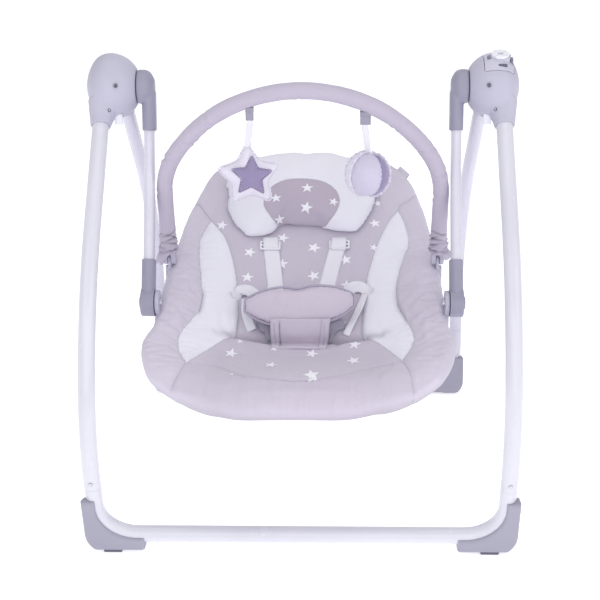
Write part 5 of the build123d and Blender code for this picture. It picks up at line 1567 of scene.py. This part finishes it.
def bar_line(h0):
    a, b, r1 = BAR_X, BAR_B, BAR_R1
    r2 = ((a - r1) ** 2 + b * b - r1 * r1) / (2 * (b - r1))
    cx, cy = a - r1, b - r2
    th = math.atan2(-cy, cx)
    pts = [(a, y) for y in np.linspace(h0, BAR_SIDE, 24)]
    pts += [(cx + r1 * cos(t), BAR_SIDE + r1 * sin(t)) for t in np.linspace(0, th, 20)[1:]]
    pts += [(r2 * cos(t), BAR_SIDE + cy + r2 * sin(t)) for t in np.linspace(th, pi - th, 80)[1:]]
    pts += [(-(cx + r1 * cos(t)), BAR_SIDE + r1 * sin(t)) for t in np.linspace(th, 0, 20)[1:]]
    pts += [(-a, y) for y in np.linspace(BAR_SIDE, h0, 24)[1:]]
    return np.array([bar_plane_pt(x, y) for x, y in pts])


def make_sleeve():
    P, s = resample(bar_line(11.0), 1.4)
    L = s[-1]
    T = np.gradient(P, axis=0)
    T /= np.linalg.norm(T, axis=1)[:, None]
    a = rad(BAR_LEAN)
    zd = np.cross([1.0, 0, 0], np.array([0, -sin(a), cos(a)]))
    n = 64
    verts, crease_shade = [], []
    folds = [(0.18, 1.4, 0.5), (0.235, 1.2, 1.2), (0.30, 1.0, 2.4), (0.735, 1.8, 3.4), (0.80, 1.7, 0.4), (0.86, 1.3, 5.2), (0.69, 1.0, 1.5), (0.13, 1.2, 3.7), (0.5, 0.5, 3.0)]
    for i in range(len(P)):
        out = np.cross(T[i], zd)          # away from or towards the arch's middle
        e0, e1 = s[i], L - s[i]
        e = min(e0, e1)
        right = e0 < e1
        g = math.exp(-(e / 26.0) ** 2)
        for k in range(n):
            t = 2 * pi * k / n
            d = out * cos(t) + zd * sin(t)
            r = 12.6
            # painted shade for the creases, pleats and cuff is summed here and stored as the crease attribute
            fold_shade = 0.0
            # stuffed unevenness, soft creases on the inner side of the bends
            r += 0.45 * nz(P[i] + d * 12, 0.030, 2.0) * 1.5 + 0.25 * nz(P[i] + d * 12, 0.11, 4.0)
            for f, dep, ph in folds:
                q = (s[i] / L - f) * L + 7.0 * sin(t * 1.0 + ph)
                r -= dep * math.exp(-(q / 2.6) ** 2) * (0.5 + 0.5 * cos(t - ph)) - 0.55 * dep * math.exp(-((abs(q) - 6) / 3.2) ** 2) * (0.5 + 0.5 * cos(t - ph))
            # gathered ends: radial pleats that twist, a rolled cuff at the mouth
            tw = t + (e * 0.045 if right else -e * 0.05)
            r += g * (1.5 * cos(9 * tw + 1.5 * sin(2 * t)) + 0.8 * cos(5 * tw + 1.0)) * 0.9
            cuff = math.exp(-((e - 5.5) / 4.2) ** 2) + 0.75 * math.exp(-((e - 15.0 - 3.0 * cos(t + (0.6 if right else 2.2))) / 4.0) ** 2)
            cuff += 0.55 * math.exp(-((e - 25.0 - 5.0 * cos(t + (1.8 if right else 0.4))) / 4.2) ** 2)
            r += (2.9 if right else 2.3) * cuff * (1 + 0.25 * cos(t + 0.8))
            r -= 1.1 * math.exp(-((e - 10.2) / 2.0) ** 2) + 0.9 * math.exp(-((e - 20.0 - 4.0 * cos(t + 1.1)) / 2.4) ** 2)
            for e0, am, ph, dp in ((11.0, 5.0, 0.3, 2.4), (18.0, 7.0, 1.1, 2.8), (25.5, 6.0, 1.9, 2.6), (33.0, 8.0, 0.8, 2.2), (40.0, 5.0, 2.6, 1.2)):
                x = e - (e0 + am * cos(t - ph * (1 if right else 1.3)))
                r -= dp * math.exp(-(x / 1.3) ** 2) * (0.65 + 0.35 * cos(t * 2 + ph))
                r += 0.8 * math.exp(-((abs(x) - 3.0) / 1.6) ** 2)
                fold_shade += 0.62 * math.exp(-(x / 1.7) ** 2) * (0.6 + 0.4 * cos(t * 2 + ph))
            fold_shade += 0.5 * math.exp(-((e - 10.2) / 1.6) ** 2)
            lip = math.exp(-(e / 9.0) ** 2)
            fo = max(0.0, cos(t)) ** 1.3
            r += (7.0 if right else 6.5) * lip * fo
            slide = ((11.0 if right else 23.0) * fo - 3.0 * max(0.0, -cos(t))) * lip
            r -= 4.2 * math.exp(-(e / 1.6) ** 2)
            # the seam with its stitches on the inside of the arch
            q = (t - pi * (1 if cos(0) > 0 else 0) + pi) % (2 * pi) - pi
            r -= 0.55 * math.exp(-(q / 0.07) ** 2) * (0.6 + 0.4 * sin(s[i] * 1.6))
            verts.append(M(P[i] + d * r + T[i] * (-slide if right else slide)))
            crease_shade.append(min(1.0, max(0.0, fold_shade)))
    # the mouth turns in to the bar
    faces = grid_faces(len(P), n, wrap=True)
    base = len(verts)
    for i, ring in ((0, 0), (len(P) - 1, (len(P) - 1) * n)):
        for q, dr, sh in ((0, 7.2, 3.0),):
            for k in range(n):
                t = 2 * pi * k / n
                out = np.cross(T[i], zd)
                d = out * cos(t) + zd * sin(t)
                verts.append(M(P[i] + T[i] * (sh if i == 0 else -sh) + d * 6.2))
    for k in range(n):
        a0, b0 = k, (k + 1) % n
        faces.append((a0, base + a0, base + b0, b0))
        c = (len(P) - 1) * n
        faces.append((c + a0, c + b0, base + n + b0, base + n + a0))
    faces.append(tuple(base + k for k in reversed(range(n))))
    faces.append(tuple(base + n + k for k in range(n)))
    o = build("toy_bar_sleeve_fabric", verts, faces, "toy_bar", SLEEVE)
    # the turned-in mouth gets half strength painted shade
    set_attr(o, "crease", crease_shade + [0.5] * (len(o.data.vertices) - len(crease_shade)))
    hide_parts("toy_bar_sleeve")
    return o




def painted_crease_shade(m, dark):
    """Painted shade: darken a cloth's colour in its folds by the crease attribute."""
    nt = m.node_tree
    bsdf = next(q for q in nt.nodes if q.type == "BSDF_PRINCIPLED")
    src = bsdf.inputs["Base Color"].links[0].from_socket
    at = nt.nodes.new("ShaderNodeAttribute")
    at.attribute_name = "crease"
    mx = nt.nodes.new("ShaderNodeMix")
    mx.data_type = "RGBA"
    nt.links.new(at.outputs["Fac"], mx.inputs[0])
    nt.links.new(src, mx.inputs[6])
    mx.inputs[7].default_value = (*dark[:3], 1.0)
    nt.links.new(mx.outputs[2], bsdf.inputs["Base Color"])
    return m


# painted shade in the sleeve's folds, towards a dark lavender
SLEEVE = painted_crease_shade(mat_fabric("sleeve_cloth", srgb("#bfb7c8"), tone=0.05), scaled(srgb("#8d8599"), 0.62))
SLEEVE_OBJ = make_sleeve()
bpy.context.view_layer.update()
SLEEVE_TREE = bvh_of(SLEEVE_OBJ)


def bar_at(x):
    a, b, r1 = BAR_X, BAR_B, BAR_R1
    r2 = ((a - r1) ** 2 + b * b - r1 * r1) / (2 * (b - r1))
    return bar_plane_pt(x, BAR_SIDE + (b - r2) + math.sqrt(r2 * r2 - x * x))


def hang(x):
    return bar_at(x) + np.array([0, 0, -17.5])


def make_loop(name, x, width, mat, tail, body):
    """Webbing sewn to the sleeve's underside, its two layers meeting in a tab that swings with the toy."""
    c = bar_at(x)
    h = hang(x)
    prof = [(-62, 14.0), (-71, 13.3), (-81, 12.3), (-90, 11.4), (-99, 12.3), (-109, 13.3), (-118, 14.0)]
    pts = [c + np.array([0, -cos(rad(t)) * r, sin(rad(t)) * r]) for t, r in prof]
    pts = [h + np.array([0, -0.9, -2.0])] + pts + [h + np.array([0, 0.9, -2.0])]
    ribbon(name + "_tab", [h + np.array([0, 0, z]) for z in (-0.6, -5.0, -10.0, -15.0)], (1, 0, 0), body, mat, width - 0.4, 2.6, step=1.6)
    return ribbon(name, pts, (1, 0, 0), "toy_bar", mat, width, 1.3, step=1.0)


make_loop("toy_loop_left", STAR_X, 12.5, WEB_G, 0, "star_toy")
make_loop("toy_loop_right", BALL_X, 16.5, WEB_G, 0, "ball_toy")


# ------------------------------------------------------------------ plush toys
def star_outline(r_out, r_in, rot, n=5, round_=0.20, per=10):
    """Soft star: corners rounded by cutting in from each side."""
    P = [np.array([(r_out if i % 2 == 0 else r_in) * cos(pi / 2 + pi / n * i + rot),
                   (r_out if i % 2 == 0 else r_in) * sin(pi / 2 + pi / n * i + rot)]) for i in range(2 * n)]
    out = []
    m = len(P)
    for i in range(m):
        a, b, c = P[i - 1], P[i], P[(i + 1) % m]
        k = round_ if i % 2 == 0 else round_ * 0.55
        p, q = b + (a - b) * k, b + (c - b) * k
        for t in np.linspace(0, 1, per):
            out.append((1 - t) ** 2 * p + 2 * t * (1 - t) * b + t * t * q)
    return np.array(out)


def plush_star(name, c, r_out, r_in, half, rot, body, mat, yshift=0.0, sign=0, round_=0.22, voxel=0.0028, cap=3.0):
    """Stuffed star: height from the distance to its seam."""
    B = star_outline(r_out, r_in, rot, round_=round_)
    B, _ = resample(np.vstack([B, B[:1]]), 2.0)
    B = B[:-1]
    nb = len(B)
    fr = np.r_[np.linspace(0, 0.8, 14), np.linspace(0.8, 1, 9)[1:]]
    top, bot = [], []
    for f in fr:
        q = B * f
        d = poly_dist(B, q) if f < 1 else np.zeros(nb)
        hgt = half * np.sqrt(np.clip(1 - (1 - np.clip(d / (r_in * 0.80), 0, 1)) ** 2, 0, 1))
        for j in range(nb):
            x, z = q[j]
            top.append(c + np.array([x, -hgt[j] + yshift, z]))
            if f < 1:
                bot.append(c + np.array([x, (hgt[j] if sign == 0 else hgt[j] * 0.35) + yshift, z]))
    nr = len(fr)
    faces = grid_faces(nr, nb, wrap=True)
    base = nr * nb
    faces += [tuple(reversed(f)) for f in grid_faces(nr - 1, nb, base, wrap=True)]
    for j in range(nb):
        a, b = base + (nr - 2) * nb + j, base + (nr - 2) * nb + (j + 1) % nb
        faces.append(((nr - 1) * nb + j, (nr - 1) * nb + (j + 1) % nb, b, a))
    o = build(name, M(top + bot), faces, None, mat, weld=1e-5)
    remesh(o, voxel)
    puff(o, 3.0, cap)
    P = co_of(o)
    o.data.update()
    N = np.array([v.normal[:] for v in o.data.vertices])
    q = P * 1000
    nap = 0.30 * noise_np(q, 0.45, 3.0) + 0.5 * noise_np(q, 0.09, 6.0)
    set_co(o, P + N * (nap * 0.001)[:, None])
    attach(o, body)
    return o, B


def star_toy():
    h = hang(STAR_X)
    c = np.array([-80.0, h[1], h[2] - 102.0])
    big, B = plush_star("star_toy_plush", c, 54.0, 30.0, 12.5, rad(4), "star_toy", PLUSH_W, round_=0.36, cap=0.9)
    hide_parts("star_toy")
    # sewn edge: a shallow line of gathers round the seam
    P = [c + np.array([x, 0, z]) for x, z in B]
    P.append(P[0])
    tube("star_toy_seam", P, 1.1, "star_toy", PLUSH_W, n=8, step=1.5, rf=lambda s, a, i: 1 + 0.35 * sin(s * 1.1), caps=False)
    c2 = np.array([-76.0, h[1] - 12.2, h[2] - 98.5])
    sm, B2 = plush_star("star_toy_small", c2, 33.5, 16.5, 7.0, rad(-2), "star_toy", PLUSH_P, sign=1, round_=0.16, voxel=0.0022, cap=0.7)
    P = [c2 + np.array([x, -0.5, z]) for x, z in B2]
    P.append(P[0])
    tube("star_toy_small_seam", P, 0.9, "star_toy", PLUSH_P, n=8, step=1.5, rf=lambda s, a, i: 1 + 0.3 * sin(s * 1.3), caps=False)
    # ribbon from the bar's loop down to the toy
    top = h + np.array([0, 0, -1.0])
    end = c + np.array([-2.0, 0, 42.0])
    pts = spline_pts([top, top + np.array([0.4, 0, -14]), (top + end) / 2 + np.array([1.0, -0.4, 0]), end], 10)
    W = [np.array([cos(a), sin(a) * 0.9, 0]) for a in np.linspace(0, rad(28), len(pts))]
    ribbon("star_toy_ribbon", pts, W, "star_toy", WEB, 10.0, 1.3, wave=0.3)


def ball_toy():
    h = hang(BALL_X)
    c = np.array([100.5, h[1], h[2] - 92.0])
    r = 33.0
    bm = bmesh.new()
    bmesh.ops.create_icosphere(bm, subdivisions=5, radius=1.0)
    V = np.array([v.co[:] for v in bm.verts])
    F = [[v.index for v in f.verts] for f in bm.faces]
    bm.free()
    # panels are lunes about an axis that leans: the seams run from pole to pole
    ax = np.array([0.10, 0.10, 1.0])
    ax /= np.linalg.norm(ax)
    e1 = np.array([-0.10, -0.99, 0.0])
    e1 -= ax * e1.dot(ax)
    e1 /= np.linalg.norm(e1)
    e2 = np.cross(ax, e1)
    lon = np.degrees(np.arctan2(V @ e2, V @ e1))
    lat = V @ ax
    SE = [-46.0, 44.0, 84.0, 160.0, 232.0, 272.0]           # seam longitudes
    d = np.full(len(V), 1e9)
    for sg in SE:
        q = np.abs((lon - sg + 180) % 360 - 180)
        d = np.minimum(d, np.radians(q) * np.sqrt(np.clip(1 - lat ** 2, 0, 1)) * r)
    k = 1 - 0.035 * np.exp(-(d / 3.2) ** 2) + 0.035 * (1 - np.exp(-d / 9.0)) - 0.05 * np.clip(np.abs(lat) - 0.86, 0, 1) / 0.14
    seam_wr = np.array([noise.noise(Vector(p * 5.0)) for p in V])
    k += 0.012 * seam_wr
    P = c + V * (r * k)[:, None] * np.array([1.0, 1.0, 1.04])
    mi = []
    for f in F:
        m = V[f].mean(0)
        a = math.degrees(math.atan2(m @ e2, m @ e1)) % 360
        a = (a + 46.0) % 360
        # lavender, purple, white, lavender, white, purple by turns
        cuts = [0, 90, 130, 206, 278, 318, 360]
        cols = [0, 1, 2, 0, 1, 2]
        for j in range(6):
            if cuts[j] <= a < cuts[j + 1]:
                mi.append(cols[j])
                break
    o = build("ball_toy_plush", M(P), F, None, [PLUSH_L, PLUSH_P, PLUSH_W], mi=mi)
    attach(o, "ball_toy")
    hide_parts("ball_toy")
    # frilled edges that stand out of the seams
    VV, FF = [], []
    for w, sg in enumerate(SE):
        if w == 1:
            continue
        n = 120
        base = len(VV)
        sgr = rad(sg)
        for i in range(n + 1):
            t = rad(-80) + rad(160) * i / n
            dr = (e1 * cos(sgr) + e2 * sin(sgr)) * cos(t) + ax * sin(t)
            tan = -e1 * sin(sgr) + e2 * cos(sgr)
            ruf = sin(i * 0.95 + w) * 1.5 + sin(i * 0.41 + 2 * w) * 0.9
            ht = 3.4 + 0.6 * sin(i * 0.67 + w * 2)
            fade = min(1.0, (min(i, n - i) + 2) / 12.0)
            for q, (rr, sh) in enumerate(((r * 0.97, 0.0), (r * 1.0 + ht * 0.5 * fade, ruf * 0.5), (r * 1.0 + ht * fade, ruf * 1.15))):
                p = c + dr * rr * np.array([1, 1, 1.03]) + tan * sh
                VV.append(M(p))
        for i in range(n):
            for q in range(2):
                a, b = base + i * 3 + q, base + (i + 1) * 3 + q
                FF.append((a, b, b + 1, a + 1))
    fr = build("ball_toy_frills", VV, FF, None, PLUSH_W)
    m = fr.modifiers.new("thick", "SOLIDIFY")
    m.thickness, m.offset = 0.0011, 0
    apply_mods(fr)
    subdiv(fr, 1)
    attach(fr, "ball_toy")
    top = h + np.array([0, 0, -1.0])
    end = c + np.array([0.0, 0, 33.0])
    pts = spline_pts([top, top + np.array([-0.4, 0, -16]), (top + end) / 2 + np.array([-1.0, 0.4, 0]), end], 10)
    W = [np.array([cos(a), -sin(a) * 0.8, 0]) for a in np.linspace(0, rad(22), len(pts))]
    ribbon("ball_toy_ribbon", pts, W, "ball_toy", WEB, 10.0, 1.3, wave=0.3)


star_toy()
ball_toy()


# ------------------------------------------------------------------ the rigid nodes: finishes and softened moulding
SLOT_MAT = {"tube_white": TUBE, "grey_plastic": PLASTIC, "dark_plastic": DARK, "white_plastic": WHITE, "rubber": RUBBER, "steel": STEEL,
            "copper": COPPER, "board": BOARD, "lens": LENS, "grey_fabric": FABRIC, "white_fabric": FABRIC_W, "webbing": WEB, "plush": PLUSH_W}
HUB = mat_plastic("hub_plastic", srgb("#9997aa"), rough=0.42)
# screw finishes are dark, and partly painted shade standing for the shade in the screw recesses
SCREW_SHADED = mat_metal("screw_steel", (0.16, 0.16, 0.19), 0.4)
SCREW_DARK_SHADED = mat_plastic("screw_dark", srgb("#4a4955"), rough=0.5)
NODE_MAT = {"arm_hubs": HUB, "recline_joints": HUB, "housing_screws": SCREW_SHADED, "recline_button_left": HUB, "recline_button_right": HUB,
            "front_corner_covers": COVER, "rear_corner_covers": COVER, "control_panel": PANEL, "seat_brackets": PLASTIC,
            "toy_bar_tube": PLASTIC}
slots = {s["node"]: s.get("material_slot") for s in frame["record"]["subparts"]}
# rear frame and arm tubes take the painted-shade copies of the white coat
for name, o in NODES.items():
    m = NODE_MAT.get(name) or (TUBE_REAR_SHADED if slots.get(name) == "tube_white" and name.startswith("rear") else TUBE_ARM_SHADED if slots.get(name) == "tube_white" and "arm" in name else None) or SLOT_MAT.get(slots.get(name), PLASTIC)
    o.data.materials.clear()
    o.data.materials.append(m)
    for p in o.data.polygons:
        p.material_index = 0


def soften(name, voxel, iters, factor=0.5):
    """Moulded look: voxel remesh, then smoothing, as modifiers over the untouched node."""
    o = NODES[name]
    m = o.modifiers.new("remesh", "REMESH")
    m.mode = "VOXEL"
    m.voxel_size = voxel
    m.use_smooth_shade = True
    s = o.modifiers.new("smooth", "SMOOTH")
    s.factor, s.iterations = factor, iters


def make_front_covers():
    """The front corner covers with their thin outer tip trimmed level, as in the picture."""
    me = NODES["front_corner_covers"].data.copy()
    me.name = "front_corner_shoes"
    o = new_obj("front_corner_shoes", me, None, COVER)
    P = co_of(o)
    Q = to_px(P)
    over = np.clip(497.5 - Q[:, 1], 0, None)
    P[:, 2] -= over * 0.00165
    set_co(o, P)
    r = o.modifiers.new("remesh", "REMESH")
    r.mode = "VOXEL"
    r.voxel_size = 0.0011
    q = o.modifiers.new("smooth", "SMOOTH")
    q.iterations, q.factor = 9, 0.5
    apply_mods(o)
    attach(o, "stand")
    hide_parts("front_corner_covers")


make_front_covers()
for nm, vx, it in (("rear_corner_covers", 0.0011, 8), ("arm_hubs", 0.0010, 22), ("leg_knuckles", 0.0010, 7),
                   ("toy_bar_ends", 0.0008, 4),
                   ("seat_brackets", 0.0010, 4), ("toy_bar_lugs", 0.0009, 3)):
    soften(nm, vx, it)


def make_shell(side):
    """One moulded housing from its two halves, faired down to the leg socket."""
    sx = -1 if side == "left" else 1
    V, F = [], []
    for nm in ("housing_outer_" + side, "housing_inner_" + side):
        me = NODES[nm].data
        P = np.empty(len(me.vertices) * 3)
        me.vertices.foreach_get("co", P)
        b = len(V)
        V += P.reshape(-1, 3).tolist()
        F += [tuple(i + b for i in p.vertices) for p in me.polygons]
    # fairing: a flared collar round the leg socket
    k = math.sqrt(0.5)
    ax = np.array([0, -k, -k])
    e1, e2 = np.array([1.0, 0, 0]), np.array([0, -k, k])
    c0 = np.array([sx * 307.3, 0, HUB_Z])
    base, n = len(V), 72
    ss = [(71.0, 13.2), (71.0, 15.4)] + [(s_, 15.8 + 15.5 * max(0, (70.0 - s_) / 40) ** 1.25) for s_ in np.linspace(69.5, 34, 22)] + [(34.0, 13.2)]
    for s_, r_ in ss:
        for j in range(n):
            t = 2 * pi * j / n
            q = r_
            if r_ > 16:
                reach = 15.8 + (3.4 if cos(t) * sx > 0 else 9.0) * max(0.0, (70.0 - s_) / 36.0)
                lim = reach / max(1e-6, abs(cos(t)))
                q = min(r_, lim)
            V.append(M(c0 + ax * s_ + (e1 * cos(t) + e2 * sin(t)) * q).tolist())
    m = len(ss)
    for i in range(m):
        for j in range(n):
            a, b = base + i * n + j, base + i * n + (j + 1) % n
            c, d = base + ((i + 1) % m) * n + (j + 1) % n, base + ((i + 1) % m) * n + j
            F.append((a, b, c, d))
    me = bpy.data.meshes.new("housing_shell_" + side)
    me.from_pydata(V, [], F)
    bm = bmesh.new()
    bm.from_mesh(me)
    bmesh.ops.remove_doubles(bm, verts=bm.verts, dist=1e-6)
    bmesh.ops.recalc_face_normals(bm, faces=bm.faces)
    bm.to_mesh(me)
    bm.free()
    o = new_obj("housing_shell_" + side, me, None, PLASTIC)
    r = o.modifiers.new("remesh", "REMESH")
    r.mode = "VOXEL"
    r.voxel_size = 0.0010
    q = o.modifiers.new("smooth", "SMOOTH")
    q.iterations, q.factor = 6, 0.5
    apply_mods(o)
    # a longer blend only where the egg runs down into the socket
    P = co_of(o) * 1000 - np.array([0, SH, 0]) - c0
    run = np.clip((P @ ax - 14.0) / 14.0, 0, 1) * np.clip((68.0 - P @ ax) / 6.0, 0, 1)
    g = o.vertex_groups.new(name="socket")
    for k_ in range(1, 11):
        ids = np.nonzero((run > (k_ - 1) / 10.0) & (run <= k_ / 10.0))[0].tolist()
        if ids:
            g.add(ids, k_ / 10.0, "REPLACE")
    q = o.modifiers.new("blend", "SMOOTH")
    q.iterations, q.factor, q.vertex_group = 45, 0.5, "socket"
    apply_mods(o)
    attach(o, "stand")
    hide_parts("housing_outer_" + side, "housing_inner_" + side)
    # screw heads, sunk in the shell where the picture shows them; their dark colour is partly painted shade standing
    # for the recess
    tree = bvh_of(o)
    for j, (x, y) in enumerate(((109.3, 110.3),) if side == "left" else ((495.5, 109.4),)):
        p, n_ = px_hit(x, y, tree, 0.0)
        a1 = np.cross(n_, [0, 0, 1.0])
        a1 /= np.linalg.norm(a1)
        a2 = np.cross(n_, a1)
        V, F = [], []
        prof = [(2.9, -1.2), (2.9, 0.10), (2.5, 0.32), (2.0, 0.10), (1.0, -0.15), (0.0, -0.2)]
        m_ = 28
        for r_, h_ in prof[:-1]:
            for k_ in range(m_):
                t = 2 * pi * k_ / m_
                V.append(M(p + (a1 * cos(t) + a2 * sin(t)) * r_ + n_ * h_))
        V.append(M(p + n_ * prof[-1][1]))
        F = grid_faces(len(prof) - 1, m_, wrap=True)
        b_ = (len(prof) - 2) * m_
        for k_ in range(m_):
            F.append((b_ + k_, b_ + (k_ + 1) % m_, len(V) - 1))
        F.append(tuple(reversed(range(m_))))
        build("housing_low_screw_" + side, V, F, "stand", SCREW_DARK_SHADED)


make_shell("left")
make_shell("right")
for nm in ("front_foot_pads", "rear_foot_pads"):
    soften(nm, 0.0009, 4)


# ------------------------------------------------------------------ floor and light
def make_floor():
    n = Nodes("floor")
    a = n.noise(0.7, 2.0)
    n.color(n.ramp(a, [(0.3, (0.93, 0.93, 0.945)), (0.7, (0.95, 0.95, 0.96))]))
    n.set(Roughness=0.9, Specular_IOR_Level=0.1, Emission_Strength=0.52)
    n.p.inputs["Emission Color"].default_value = (0.97, 0.975, 1.0, 1.0)
    V, F = [], []
    k = 48
    V.append((0, 0, 0))
    for r in (1.5, 5, 14, 40):
        for i in range(k):
            V.append((r * cos(2 * pi * i / k), r * sin(2 * pi * i / k), 0))
    F += [(0, 1 + i, 1 + (i + 1) % k) for i in range(k)]
    for q in range(3):
        for i in range(k):
            a, b = 1 + q * k + i, 1 + q * k + (i + 1) % k
            F.append((a, a + k, b + k, b))
    o = build("floor", V, F, None, n.m)


make_floor()


def area(name, loc, target, size, power, color=(1, 1, 1)):
    l = bpy.data.lights.new(name, "AREA")
    l.shape = "RECTANGLE"
    l.size, l.size_y = size
    l.energy = power
    l.color = color
    o = bpy.data.objects.new(name, l)
    bpy.context.scene.collection.objects.link(o)
    d = Vector(target) - Vector(loc)
    o.location = loc
    o.rotation_euler = d.to_track_quat("-Z", "Y").to_euler()
    return o


area("key", (-1.9, -2.4, 2.9), (0, 0, 0.3), (2.2, 2.2), 17.0, (1.0, 0.985, 0.985))
area("fill", (2.4, -1.6, 1.7), (0, 0, 0.35), (2.0, 2.0), 16.0, (0.985, 0.98, 0.99))
area("top", (0.0, 0.3, 3.2), (0, 0, 0.3), (2.6, 2.6), 20.0)
area("front", (0.1, -3.0, 1.5), (0, 0, 0.35), (2.4, 1.8), 19.0)
area("back", (0.3, 2.6, 1.7), (0, 0, 0.4), (2.4, 1.6), 6.0)
w = bpy.data.worlds.new("studio")
w.use_nodes = True
bg = w.node_tree.nodes["Background"]
bg.inputs["Color"].default_value = (0.96, 0.965, 1.0, 1)
bg.inputs["Strength"].default_value = 0.54
bpy.context.scene.world = w
bpy.context.scene.view_settings.view_transform = "Standard"
bpy.context.scene.view_settings.look = "None"

bpy.context.view_layer.update()
